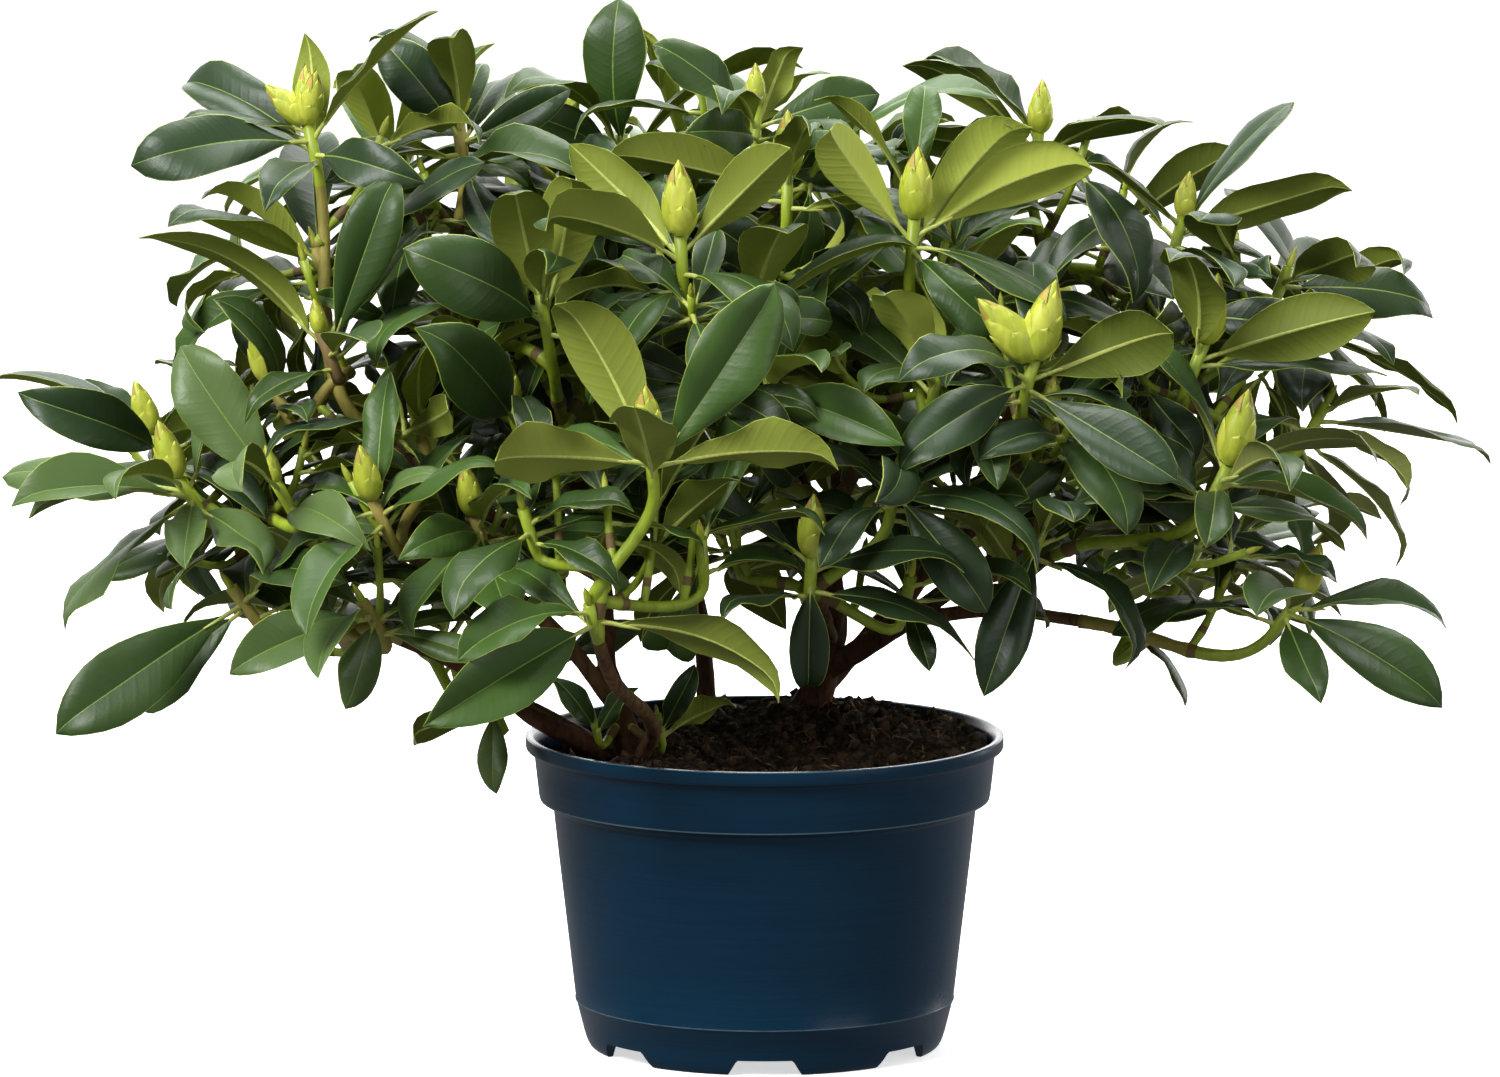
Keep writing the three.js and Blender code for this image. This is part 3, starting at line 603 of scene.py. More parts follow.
def reached_along(points):
    """How far along a line of points each one lies."""
    points = array_of(points)
    steps = np.linalg.norm(np.diff(points, axis=0), axis=1)
    return np.concatenate([[0], np.cumsum(steps)])


# ---- leaves of the source's rule


def leaf_root(end, age):
    return end.at - end.axis * (WHORL_TOP + WHORL_SPAN * age)


@dataclass
class Leaf:
    """A leaf's place: along is its direction at the root, up the side that faces the light."""

    root: V
    axis: V
    along: V
    up: V
    length: float
    bend: float
    leads: bool = False

    def __post_init__(self):
        self.side = self.up.cross(self.along)

    def changed(self, rise, turn, size):
        tilt = math.radians(rise)
        along = self.along * math.cos(tilt) + self.up * math.sin(tilt)
        up = self.up * math.cos(tilt) - self.along * math.sin(tilt)
        along, up = (turned(way, self.axis, turn) for way in (along, up))
        return Leaf(self.root, self.axis, along, up, self.length * size, self.bend, self.leads)


def tilted_leaf(root, axis, out, rise, roll, length, bend):
    """A leaf that points out from its shoot, raised by an angle and rolled by another."""
    tilt = math.radians(rise)
    along = out * math.cos(tilt) + axis * math.sin(tilt)
    up = axis * math.cos(tilt) - out * math.sin(tilt)
    return Leaf(root, axis, along, turned(up, along, roll), length, bend)


def whorl_leaves(end, index):
    """Every leaf of a whorl, the youngest first, spiralling down by the golden angle."""
    draw, vary = dice(WHORL_SEED * (index + 1))
    count = max(3, round_half_up(lerp(*WHORL_LEAVES, draw())) - len(end.leaders))
    start = 360 * draw()
    rise = lerp(*WHORL_RISE, shoot_height(end.at)) + vary(6)
    size = LEAF_LENGTH * (1 + vary(0.1)) * end.size
    across = on_plane(V((1, 0, 0)), end.axis)
    leaves = []
    for k in range(count):
        age = k / (count - 1)
        out = turned(across, end.axis, start + k * GOLDEN_ANGLE + vary(9))
        tilt = rise + lerp(YOUNG_RISE, OLD_RISE, smoothstep(age)) + vary(10)
        roll = vary(16)
        grown = math.sin((0.18 + 0.62 * age) * math.pi)  # leaves in the middle of a whorl are longest
        long = size * lerp(0.72, 1.05, grown) * (1 + vary(0.12))
        bend = BEND * (1 + vary(0.7))
        leaves.append(tilted_leaf(leaf_root(end, age), end.axis, out, tilt, roll, long, bend))
    return [leaf for k, leaf in enumerate(leaves) if k not in end.lost]


def leader_leaves(end, index):
    """The leaves that reach furthest, given by where their tips are."""
    _, vary = dice(LEADER_SEED * (index + 1))
    leaves = []
    for k, tip in enumerate(end.leaders):
        root = leaf_root(end, LEADER_AGE + LEADER_STEP * k)
        reach = tip.at - root
        chord = reach.normalized()
        bend = BEND * (0.9 + vary(0.5))
        half = math.radians(bend / 2)
        face = turned(on_plane(tip.looks or end.axis, chord), chord, vary(20))
        along = chord * math.cos(half) + face * math.sin(half)
        up = face * math.cos(half) - chord * math.sin(half)
        length = reach.length * half / math.sin(half)
        leaves.append(Leaf(root, end.axis, along, up, length, bend, True))
    return leaves


def outline(t):
    """The source's leaf: how much of its half width it has at t, from its root to its tip."""
    blade = (t - PETIOLE_SHARE) / (1 - PETIOLE_SHARE)
    return 0 if blade <= 0 else math.sin(math.pi * min(blade, 1) ** 1.15) ** 0.85


def leaf_point(one, t, side, lift=0.0):
    """A point of a leaf that bends down evenly, given along it, across it and off its surface."""
    total = max(1e-3, math.radians(one.bend))
    turn = total * t
    fold = math.radians(FOLD)
    width = side * one.length * WIDTH_SHARE / 2
    raised = abs(width) * math.sin(fold) + lift
    along = one.length * math.sin(turn) / total + raised * math.sin(turn)
    up = -one.length * (1 - math.cos(turn)) / total + raised * math.cos(turn)
    return one.root + one.along * along + one.up * up + one.side * width * math.cos(fold)


LEAF_FACES = [(0, 1, 5), (1, 2, 5), (2, 4, 5), (2, 3, 4)] + [(i, 6, (i + 1) % 6) for i in range(6)]


WIDER_BY = 0.08  # of the half width, for each millimetre that a leaf's shape is grown by


def leaf_shape(one, start=0.0, grown=0.0):
    """The source's ten-face leaf from start to its tip, to test what a leaf would touch."""
    low, high = (lerp(start, 1, t) for t in STATIONS)
    low_wide, high_wide = (outline(t) * OUTLINE_GAIN + grown * WIDER_BY for t in (low, high))
    corners = [
        leaf_point(one, start, 0),
        leaf_point(one, low, -low_wide, grown),
        leaf_point(one, high, -high_wide, grown),
        leaf_point(one, 1 + grown / one.length, 0, grown),
        leaf_point(one, high, high_wide, grown),
        leaf_point(one, low, low_wide, grown),
        leaf_point(one, lerp(start, 1, KEEL_AT), 0, -KEEL - grown),
    ]
    return corners, LEAF_FACES


# ---- what leaves must miss


class Obstacles:
    """Shapes that leaves must miss, each with its box and its owner, the number of a mass."""

    MOST = 4096

    def __init__(self):
        self.trees = []
        self.owners = []
        self.lows = np.zeros((self.MOST, 3))
        self.highs = np.zeros((self.MOST, 3))

    def add(self, points, faces, owner):
        points = array_of(points)
        here = len(self.trees)
        self.lows[here] = points.min(0)
        self.highs[here] = points.max(0)
        self.trees.append(tree_of(points, faces))
        self.owners.append(owner)

    def touched(self, shape, wanted):
        """Whether a shape touches an obstacle whose owner is wanted."""
        points, faces = shape
        cloud = array_of(points)
        count = len(self.trees)
        below = (self.lows[:count] < cloud.max(0)).all(1)
        above = (self.highs[:count] > cloud.min(0)).all(1)
        places = [i for i in np.flatnonzero(below & above) if wanted(self.owners[i])]
        if not places:
            return False
        tree = tree_of(cloud, faces)
        return any(self.trees[i].overlap(tree) for i in places)


def tree_of(points, faces):
    return BVHTree.FromPolygons([tuple(p) for p in points], [tuple(map(int, f)) for f in faces])


def inside_crown(one):
    tip = leaf_point(one, 1, 0)
    if not LOW_TIPS < tip.z < HIGH_TIPS:
        return False
    return abs(tip.x - CROWN_CENTRE.x) < HALF_WIDTH and abs(tip.y - CROWN_CENTRE.y) < HALF_DEPTH


# How a leaf in the way is raised and turned, in degrees, and shortened, one attempt after another.
ATTEMPTS = [
    (0, 0, 1),
    (13, 0, 1),
    (-13, 0, 1),
    (0, 16, 0.95),
    (0, -16, 0.95),
    (24, 8, 0.85),
    (-22, -8, 0.85),
    (8, 0, 0.7),
]
LATE_ATTEMPTS = [*ATTEMPTS, (-34, 30, 0.8), (34, -30, 0.8), (0, 45, 0.75), (0, -45, 0.75)]


def placed_leaf(wanted, owner, obstacles, free):
    """A leaf of the source's rule where it clears everything. A free one may leave the crown."""
    for rise, turn, size in ATTEMPTS:
        one = wanted.changed(rise, turn, size)
        if not free and not inside_crown(one):
            continue
        if obstacles.touched(leaf_shape(one, 0, 0.8), lambda other: other != owner):
            continue
        if obstacles.touched(leaf_shape(one, 0.15, 0.6), lambda other: other == owner):
            continue
        return one
    return None


# ---- limbs and twigs


class Grown:
    """A limb as grown: its line, where it ends and the way it leaves."""

    def __init__(self, limb, route):
        self.limb = limb
        self.route = route
        spacing = 24 if limb.is_stem() else 36  # of the rings in the source
        chords = route.spaced(max(3, round_half_up(route.length / spacing)))
        self.tip = chords[-1]
        self.leaving = (chords[-1] - chords[-2]).normalized()


def grow_limbs():
    grown = {}
    for limb in LIMBS:
        if limb.is_stem():
            first = V((*limb.start, SOIL_TOP - STEM_BURIED))
        else:
            first = grown[limb.start].route.at(limb.share)
        grown[limb.name] = Grown(limb, through_points([first, *limb.through]))
    return grown


TWIG_RING = 5  # between the rings of a smooth twig


@dataclass
class Twig:
    """A twig: the coarse line that the source draws, and the smooth one that it stands for."""

    coarse: list
    smooth: list
    radii: tuple
    from_stem: bool
    end: Shoot


def twig_bend(start, leaving, end, straight):
    """The curve from a fork to the straight end of a shoot."""
    knee = end.at - straight
    pull = (knee - start).length * TWIG_PULL
    return bezier(start, start + leaving * pull, knee - end.axis * pull, knee)


def twig_lines(start, leaving, end):
    """The coarse line and the smooth one of a twig that the source has."""
    bend = twig_bend(start, leaving, end, end.axis * STRAIGHT)
    count = max(8, round_half_up(bend.length / TWIG_RING))
    return bend.spaced(2) + [end.at], bend.spaced(count) + [end.at]


def mass_twigs(shoots, carrier):
    """The twigs of a mass: the first leaves its bough, and each other one leaves a twig."""
    start = carrier.tip + carrier.leaving * CLEARANCE
    twigs = []
    for end in shoots:
        if twigs:
            origin, direction = nearest_fork([t.coarse for t in twigs], end.at)
            coarse, smooth = twig_lines(origin, direction, end)
            twigs.append(Twig(coarse, smooth, (SHOOT_RADIUS, TIP_RADIUS), False, end))
        else:
            out = start + carrier.leaving * STEM_RADIUS
            coarse, smooth = twig_lines(out, carrier.leaving, end)
            inside = start - carrier.leaving * 6
            radii = STEM_RADIUS, TIP_RADIUS
            twigs.append(Twig([start, *coarse], [inside, start, *smooth], radii, True, end))
    return twigs


def nearest_fork(lines, at):
    """Where a new shoot leaves the twigs so far: near its own end, and below it."""
    best = None
    for points in lines:
        for a, b in list(zip(points, points[1:]))[:-1]:
            if (b - a).length < 3 * STEM_RADIUS:
                continue
            origin = a.lerp(b, 0.5)
            cost = (origin - at).length + 1.5 * max(0, origin.z - at.z + 30)
            if best is None or cost < best[0]:
                ahead, towards = (b - a).normalized(), (at - origin).normalized()
                best = cost, origin, ahead.lerp(towards, 0.6).normalized()
    return best[1:]


def bud_axes(end):
    """The axes of a shoot's buds, which turn up from its end. Of several, the first leans most."""
    upright = (end.axis + V((0, 0, BUD_UPTURN))).normalized()
    if end.buds == 1:
        return [upright]
    axes = []
    for i in range(end.buds):
        turn = 2 * math.pi * i / end.buds + math.pi
        spread = lerp(*BUD_SPREAD, i / (end.buds - 1))
        lean = V((math.cos(turn) * spread, math.sin(turn) * spread * 0.6, 0))
        axes.append((upright + lean).normalized())
    return axes


# ---- finer growth

FINER_REACH = 0.86
FRONT_REACH = 0.76  # of that, at the front
CROWN_MIDDLE = 330
CROWN_HALF_HEIGHT = 240
FRONT_FROM = -50
FRONT_HALF_WIDTH = 300
OPEN_LEFT, OPEN_RIGHT, OPEN_BACK, OPEN_TOP = -130, 260, 40, 268  # where the stems show
SECOND_CHANCE = 0.55  # that a twig has a second side shoot
SIDE_PLACES = (0.25, 0.45), (0.45, 0.4)  # the nearest place along the twig, and the spread from it
SIDE_LENGTH = (34, 62)
SIDE_SIZE = (0.8, 1.0)
SIDE_RADII = (2.3, 2.0)
OLDER_TOP = 26  # from a shoot's end down to the first of last year's leaves
OLDER_STEP = 3
FINER_FROM = 500  # the number of the first finer shoot
BASAL_FROM = 900


def side_shoots(twig, index):
    """Finer shoots that leave a twig along its bend, each with a small whorl of its own."""
    draw = seeded(SIDE_SHOOT_SEED + 31 * index)
    found = []
    line = twig.smooth
    for nearest, spread in SIDE_PLACES[: 1 + (draw() < SECOND_CHANCE)]:
        share = nearest + spread * draw()
        at = min(len(line) - 3, max(2, int(share * (len(line) - 1))))
        origin = line[at]
        along = (line[at + 1] - line[at - 1]).normalized()
        around = turned(on_plane(V((0.3, 1, 0.2)), along), along, 360 * draw())
        direction = (around + along * 0.5 + V((0, 0, 0.55))).normalized()
        length = lerp(*SIDE_LENGTH, draw())
        axis = (direction + V((0, 0, 0.5)) + twig.end.axis * 0.4).normalized()
        tip = origin + direction * length * 0.6 + axis * length * 0.5
        end = Shoot(tip, size=lerp(*SIDE_SIZE, draw()), axis=axis)
        found.append((origin, direction, end))
    return found


def side_twig(origin, direction, end):
    bend = twig_bend(origin, direction, end, end.axis * STRAIGHT * 0.7)
    smooth = bend.spaced(max(5, round_half_up(bend.length / TWIG_RING))) + [end.at]
    return Twig(smooth[::4] + [end.at], smooth, SIDE_RADII, False, end)


def older_leaves(end, index):
    """Last year's leaves, fewer and lower on the shoot, hanging a little."""
    draw, vary = dice(OLDER_SEED + 17 * index)
    count = (1 if in_front(end.at) else 2) + int(draw() * 3)
    start = 360 * draw()
    across = on_plane(V((1, 0, 0)), end.axis)
    leaves = []
    for k in range(count):
        root = end.at - end.axis * (OLDER_TOP + OLDER_STEP * k + vary(2))
        out = turned(across, end.axis, start + k * GOLDEN_ANGLE + vary(14))
        length = LEAF_LENGTH * end.size * lerp(0.75, 1.05, draw())
        bend = BEND * (1.1 + vary(0.6))
        leaves.append(tilted_leaf(root, end.axis, out, -14 + vary(16), vary(20), length, bend))
    return leaves


def depth_in_crown(place):
    """How far out of the crown's middle a place is: 1 is about where the outermost tips are."""
    height = (place.z - CROWN_MIDDLE) / CROWN_HALF_HEIGHT
    return V((place.x / HALF_WIDTH, (place.y - CROWN_CENTRE.y) / HALF_DEPTH, height)).length


def hides_stems(tip):
    """Whether a leaf's tip would hang between the crown and the pot, where the stems show."""
    return tip.y < OPEN_BACK and OPEN_LEFT < tip.x < OPEN_RIGHT and tip.z < OPEN_TOP


def in_front(tip):
    """Whether a tip is near the crown's front, where few small leaves hide the shoots."""
    return tip.y < FRONT_FROM and abs(tip.x) < FRONT_HALF_WIDTH


def late_leaf(wanted, obstacles):
    """A leaf of the finer growth where its blade clears what is there, or None."""
    for rise, turn, size in LATE_ATTEMPTS:
        one = wanted.changed(rise, turn, size)
        tip = leaf_point(one, 1, 0)
        if not inside_crown(one) or hides_stems(tip):
            continue
        if depth_in_crown(tip) > FINER_REACH * (FRONT_REACH if in_front(tip) else 1):
            continue
        if obstacles.touched(leaf_shape(one, 0.2, 0.2), lambda other: True):
            continue
        return one
    return None


# ---- the crown


@dataclass
class Spray:
    """One shoot's leaves, which share their tints."""

    mass: int
    index: int
    end: Shoot
    twig: Twig
    leaves: list = field(default_factory=list)

    def keep(self, leaf, obstacles):
        """Takes a leaf that found a place. Later leaves must miss it."""
        if leaf:
            self.leaves.append(leaf)
            obstacles.add(*leaf_shape(leaf), self.mass)


def grow_crown(grown):
    """All the shoots with their leaves: the source's first, and then the finer ones."""
    obstacles = Obstacles()
    add_limbs_and_pot(obstacles, grown)
    sprays = source_sprays(obstacles, grown)
    for leaves_of in (leader_leaves, whorl_leaves):
        leads = leaves_of is leader_leaves
        for spray in sprays:
            for wanted in leaves_of(spray.end, spray.index):
                spray.keep(placed_leaf(wanted, spray.mass, obstacles, leads), obstacles)
    finer = finer_sprays(sprays)
    for leaves_of, growing in ((whorl_leaves, finer), (older_leaves, finer + sprays)):
        for spray in growing:
            for wanted in leaves_of(spray.end, spray.index):
                spray.keep(late_leaf(wanted, obstacles), obstacles)
    sprays += [s for s in finer if len(s.leaves) > 1 and s.end.at.z > LOW_TIPS]
    return sprays + basal_sprays(grown["stock"].route.at(BASAL_SHARE), obstacles)


NO_MASS = -1  # the owner of limbs and pot
POT_BY_HEIGHT = {0: 97, 100: 112, LEDGE_HEIGHT: 123, 163: RIM_RADIUS, POT_HEIGHT: RIM_RADIUS}


def add_limbs_and_pot(obstacles, grown):
    """Limbs as plain tubes, and the pot as a lathed block with these radii."""
    for limb in grown.values():
        share = np.linspace(0, 1, 12)
        radii = lerp(limb.limb.radii[0], limb.limb.radii[1], share)
        obstacles.add(*tube([limb.route.at(s) for s in share], radii, 6), NO_MASS)
    middle = [(0, 0, height) for height in POT_BY_HEIGHT]
    obstacles.add(*tube(middle, list(POT_BY_HEIGHT.values()), 36), NO_MASS)


def source_sprays(obstacles, grown):
    """The source's shoots. Their twigs and buds become obstacles before any leaf grows."""
    sprays = []
    for m, (_, carrier, shoots) in enumerate(MASSES):
        for twig in mass_twigs(shoots, grown[carrier]):
            radii = np.linspace(*twig.radii, len(twig.coarse))
            obstacles.add(*tube(twig.coarse, radii, 4), m)
            if twig.end.bud_length:
                for axis in bud_axes(twig.end):
                    obstacles.add(*coarse_bud(twig.end.at, axis, twig.end.bud_length), m)
            sprays.append(Spray(m, len(sprays), twig.end, twig))
    return sprays


def finer_sprays(sprays):
    finer = []
    for spray in sprays:
        for origin, direction, end in side_shoots(spray.twig, spray.index):
            twig = side_twig(origin, direction, end)
            finer.append(Spray(spray.mass, FINER_FROM + len(finer), end, twig))
    return finer


def basal_sprays(origin, obstacles):
    """The small shoots that leave the stock near the soil."""
    sprays = []
    for k, end in enumerate(BASAL_SHOOTS):
        direction = (end.at - origin).normalized()
        spray = Spray(BASAL_MASS, BASAL_FROM + k, end, side_twig(origin, direction, end))
        found = (placed_leaf(w, BASAL_MASS, obstacles, True) for w in leader_leaves(end, spray.index))
        spray.leaves = [leaf for leaf in found if leaf]
        sprays.append(spray)
    return sprays


def coarse_bud(at, axis, length):
    """A bud as the source has it, to test what touches it."""
    half = length * BUD_WIDTH / 2
    points = [at + axis * length * s for s in (-0.1, 0.16, 0.46, 0.8, 1.0)]
    return tube(points, [0.2, half * 0.9, half, half * 0.4, 0.2], 6)


# ---- leaf meshes

ROWS = 13
EDGE, ABOVE, RIB, BELOW, KEEL_RIB = range(5)
MARGIN = 0.6
RIB_ABOVE = (0.5, 0.22)  # half the width of the midrib's tint, at the blade's base and tip
RIB_BELOW = (1.35, 0.35)
HALF_THICK = 0.4
GROOVE = 0.25
RIDGE = (1.5, 0.25)  # how far the midrib stands out below, at the blade's base and tip
RIB_SPREAD = 1.2
HOOK_FROM = 0.8  # where along the blade its tip starts to bend down
STALK_RADII = (1.9, 1.5, 1.35, 1.2, 0.5)
STALK_AT = (-0.01, 0.04, 0.09, 0.14, 0.22)
STALK_UNDER = (0, 0, 0, 0.5, 0.6)


class Look:
    """What makes one leaf differ from the next. Leaders are wider, and twist less."""

    def __init__(self, seed, leads, restless):
        draw, vary = dice(seed)
        self.width = WIDTH_SHARE * (1.0 if leads else 0.9) * (1 + vary(0.12))
        self.base = 1.1 + vary(0.16)  # powers that shape the outline towards each end
        self.tip = 0.8 + vary(0.14)
        self.fold = 19 + vary(17)  # degrees that each half rises from the midrib
        self.recurve = 0.24 + vary(0.14)  # how far the margins roll down, of the half width
        self.wave = 2.3 + vary(1.9)
        self.waves = 1.5 + vary(0.8)
        self.phases = 6.3 * draw(), 6.3 * draw()
        self.twist = vary(30) if leads or draw() > restless else vary(95)  # degrees
        self.sickle = vary(0.05)  # sideways, of the length
        self.hook = 6.5 + vary(6)
        self.bow = 0.02 + vary(0.06)  # upwards, of the length


def half_widths(one, look, b):
    """Half the blade's width at each row, from its base to its pointed tip."""
    peak = look.base / (look.base + look.tip)
    top = peak**look.base * (1 - peak) ** look.tip
    w = one.length * look.width / 2 * (b**look.base * (1 - b) ** look.tip) / top
    return w + (1 - b) ** 6 + 0.22


def leaf_mesh(one, look):
    """Points, faces, finishes and marks of one leaf's blade, which has an upper and a lower skin."""
    share = np.linspace(0, 1, ROWS)
    b = share - 0.3 * np.sin(2 * math.pi * share) / (2 * math.pi)  # closer rows at both ends
    w = half_widths(one, look, b)
    margin = np.minimum(MARGIN, 0.26 * w)
    rib_above = np.minimum(lerp(*RIB_ABOVE, b), 0.2 * w)
    rib_below = np.minimum(lerp(*RIB_BELOW, b), 0.3 * w)
    above = blade_rows(one, look, b, columns(w, margin, rib_above), w, True)
    below = blade_rows(one, look, b, columns(w, margin, rib_below), w, False)
    count = above.shape[1]
    grid = grid_faces(ROWS, count)
    faces = np.vstack([grid[:, ::-1], joined_edges(grid, count)])
    strips = np.tile(np.repeat(np.arange(count - 1), 2), ROWS - 1)
    edge = (strips == 0) | (strips == count - 2)
    middle = (strips == count // 2 - 1) | (strips == count // 2)
    above_finish = np.where(edge, EDGE, np.where(middle, RIB, ABOVE))
    below_finish = np.where(edge, EDGE, np.where(middle, KEEL_RIB, BELOW))
    across = np.linspace(0, 1, count)
    marks = np.stack(np.meshgrid(b, across, indexing="ij"), -1).reshape(-1, 2)
    points = np.vstack([above.reshape(-1, 3), below.reshape(-1, 3)])
    return points, faces, np.concatenate([above_finish, below_finish]), np.vstack([marks, marks])


def columns(w, margin, rib):
    """How far from the middle each column of points lies, row by row."""
    half = [rib, 0.36 * w, 0.7 * w, w - margin, w]
    return np.stack([-x for x in reversed(half)] + [0 * w] + half, 1)


def joined_edges(grid, count):
    """The lower skin's faces. At the outline they share the upper skin's points."""
    column = grid % count
    inner = (column > 0) & (column < count - 1)
    return grid + ROWS * count * inner


def leaf_line(one, t):
    """The leaf's middle line at t, and the directions square to its upper side."""
    total = max(1e-3, math.radians(one.bend))
    turn = total * t
    along, up = np.array(one.along), np.array(one.up)
    run = (one.length * np.sin(turn) / total)[:, None]
    fall = (one.length * (1 - np.cos(turn)) / total)[:, None]
    centre = np.array(one.root) + along * run - up * fall
    normal = along * np.sin(turn)[:, None] + up * np.cos(turn)[:, None]
    return centre, normal


def blade_rows(one, look, b, x, w, above):
    """The points of one skin, at b along the blade and x across it, where it is w wide on a side."""
    centre, normal = leaf_line(one, PETIOLE_SHARE + (1 - PETIOLE_SHARE) * b)
    side = np.broadcast_to(np.array(one.side), normal.shape)
    twist = np.radians(look.twist) * (b - 0.4)
    side, normal = (
        side * np.cos(twist)[:, None] + normal * np.sin(twist)[:, None],
        normal * np.cos(twist)[:, None] - side * np.sin(twist)[:, None],
    )
    out = np.abs(x) / w[:, None]
    fold = math.radians(look.fold)
    height = np.abs(x) * math.sin(fold) - look.recurve * w[:, None] * out**2.6
    for sign, phase in ((-1, look.phases[0]), (1, look.phases[1])):
        wave = look.wave * np.sin(2 * math.pi * look.waves * b + phase) * np.sin(math.pi * b)
        height = height + np.where(np.sign(x) == sign, wave[:, None] * out**2, 0)
    thick = HALF_THICK * (1 - out**4)
    rib = np.exp(-((x / RIB_SPREAD) ** 2))
    if above:
        height = height + thick - GROOVE * rib
    else:
        height = height - thick - lerp(*RIDGE, b)[:, None] * rib
    hook = look.hook * np.clip((b - HOOK_FROM) / (1 - HOOK_FROM), 0, 1) ** 2
    bow = look.bow * one.length * np.sin(math.pi * b)
    aside = look.sickle * one.length * b**2
    centre = centre + normal * (bow - hook)[:, None] + side * aside[:, None]
    lateral = x * math.cos(fold) * (1 - 0.12 * out**2)
    return centre[:, None] + side[:, None] * lateral[..., None] + normal[:, None] * height[..., None]


def stalk_mesh(one):
    """The stalk, which runs on a little under the blade."""
    centre, normal = leaf_line(one, np.array(STALK_AT))
    centre = centre - normal * np.array(STALK_UNDER)[:, None]
    return tube(centre, STALK_RADII, 6)


# ---- materials


def srgb(*channels):
    """A colour given as 0 to 255 on screen, as the linear values that Blender takes."""
    shares = [c / 255 for c in channels]
    linear = [s / 12.92 if s <= 0.04 else ((s + 0.055) / 1.055) ** 2.4 for s in shares]
    return (*linear, 1)


VEINS = 13  # side veins along a leaf
VEIN_SLANT = 0.42


def fill(tree, node, sockets):
    """Gives a node's sockets values, or links them to other nodes' outputs."""
    for name, value in sockets.items():
        if isinstance(value, bpy.types.NodeSocket):
            tree.links.new(value, node.inputs[name])
        else:
            node.inputs[name].default_value = value


def add_node(tree, kind, sockets, **settings):
    made = tree.nodes.new(kind)
    for key, value in settings.items():
        setattr(made, key, value)
    fill(tree, made, sockets)
    return made


class Nodes:
    """A material under construction. Its patterns take their place from the object."""

    def __init__(self, name, roughness, specular=0.5):
        self.material = bpy.data.materials.new(name)
        self.material.use_nodes = True
        self.tree = self.material.node_tree
        self.shader = self.tree.nodes["Principled BSDF"]
        self.finish({"Roughness": roughness, "Specular IOR Level": specular})
        self.place = self.node("ShaderNodeTexCoord", {}).outputs["Object"]

    def node(self, kind, sockets, **settings):
        return add_node(self.tree, kind, sockets, **settings)

    def finish(self, sockets):
        """Sets or links the shader's own sockets."""
        fill(self.tree, self.shader, sockets)

    def stretched(self, scale):
        sockets = {"Scale": scale, "Vector": self.place}
        return self.node("ShaderNodeMapping", sockets).outputs["Vector"]

    def noise(self, scale, detail=3.0, roughness=0.5, place=None, distortion=0.0):
        sockets = {"Scale": scale, "Detail": detail, "Roughness": roughness}
        sockets |= {"Distortion": distortion, "Vector": place or self.place}
        return self.node("ShaderNodeTexNoise", sockets).outputs["Fac"]

    def ramp(self, value, *stops):
        made = self.node("ShaderNodeValToRGB", {"Fac": value})
        elements = made.color_ramp.elements
        while len(elements) < len(stops):
            elements.new(0.5)
        for element, (position, color) in zip(elements, stops):
            element.position = position
            element.color = color
        return made.outputs["Color"]

    def spread(self, value, low, high):
        """Takes a value from 0 to 1 to one from low to high."""
        sockets = {"Value": value, "To Min": low, "To Max": high}
        return self.node("ShaderNodeMapRange", sockets).outputs["Result"]

    def calc(self, operation, a, b=0):
        return self.node("ShaderNodeMath", {0: a, 1: b}, operation=operation).outputs["Value"]

    def away(self, value, middle):
        return self.calc("ABSOLUTE", self.calc("SUBTRACT", value, middle))

    def near(self, value, middle, reach):
        """1 where a value is within a reach of a middle, and 0 elsewhere."""
        return self.calc("LESS_THAN", self.away(value, middle), reach)

    def parts(self, vector):
        return self.node("ShaderNodeSeparateXYZ", {"Vector": vector}).outputs

    def side_veins(self):
        """Ridges that leave a leaf's midrib at a slant, from its marks along and across it."""
        marks = self.parts(self.node("ShaderNodeUVMap", {}, uv_map="OFBake").outputs["UV"])
        off_middle = self.away(marks["Y"], 0.5)
        slant = self.calc("SUBTRACT", marks["X"], self.calc("MULTIPLY", off_middle, VEIN_SLANT))
        ridge = self.calc("SINE", self.calc("MULTIPLY", slant, 2 * math.pi * VEINS))
        return self.calc("POWER", self.spread(ridge, 0.5, 1), 3)

    def bump(self, height, distance):
        """Adds relief to the relief that the shader has."""
        made = self.node("ShaderNodeBump", {"Distance": distance, "Height": height})
        normal = self.shader.inputs["Normal"]
        if normal.is_linked:
            fill(self.tree, made, {"Normal": normal.links[0].from_socket})
        self.finish({"Normal": made.outputs["Normal"]})


def toned(color, factor):
    return (*(c * factor for c in color[:3]), 1)


def leaf_skin(name, color, roughness, specular, veins):
    """A leaf's surface: one tint, with uneven gloss, side veins in relief and a fine grain."""
    made = Nodes(name, roughness, specular)
    uneven = made.spread(made.noise(45, 3), roughness - 0.08, roughness + 0.1)
    made.finish({"Base Color": color, "Roughness": uneven})
    made.bump(made.side_veins(), veins)
    made.bump(made.noise(600, 2), 0.0001)
    return made.material


def shoot_skin(name, color, roughness=0.45):
    made = Nodes(name, roughness)
    streak = made.noise(260, 3, place=made.stretched((1, 1, 0.35)))
    made.finish({"Base Color": made.ramp(streak, (0.3, toned(color, 0.8)), (0.7, toned(color, 1.15)))})
    made.bump(streak, 0.0003)
    return made.material


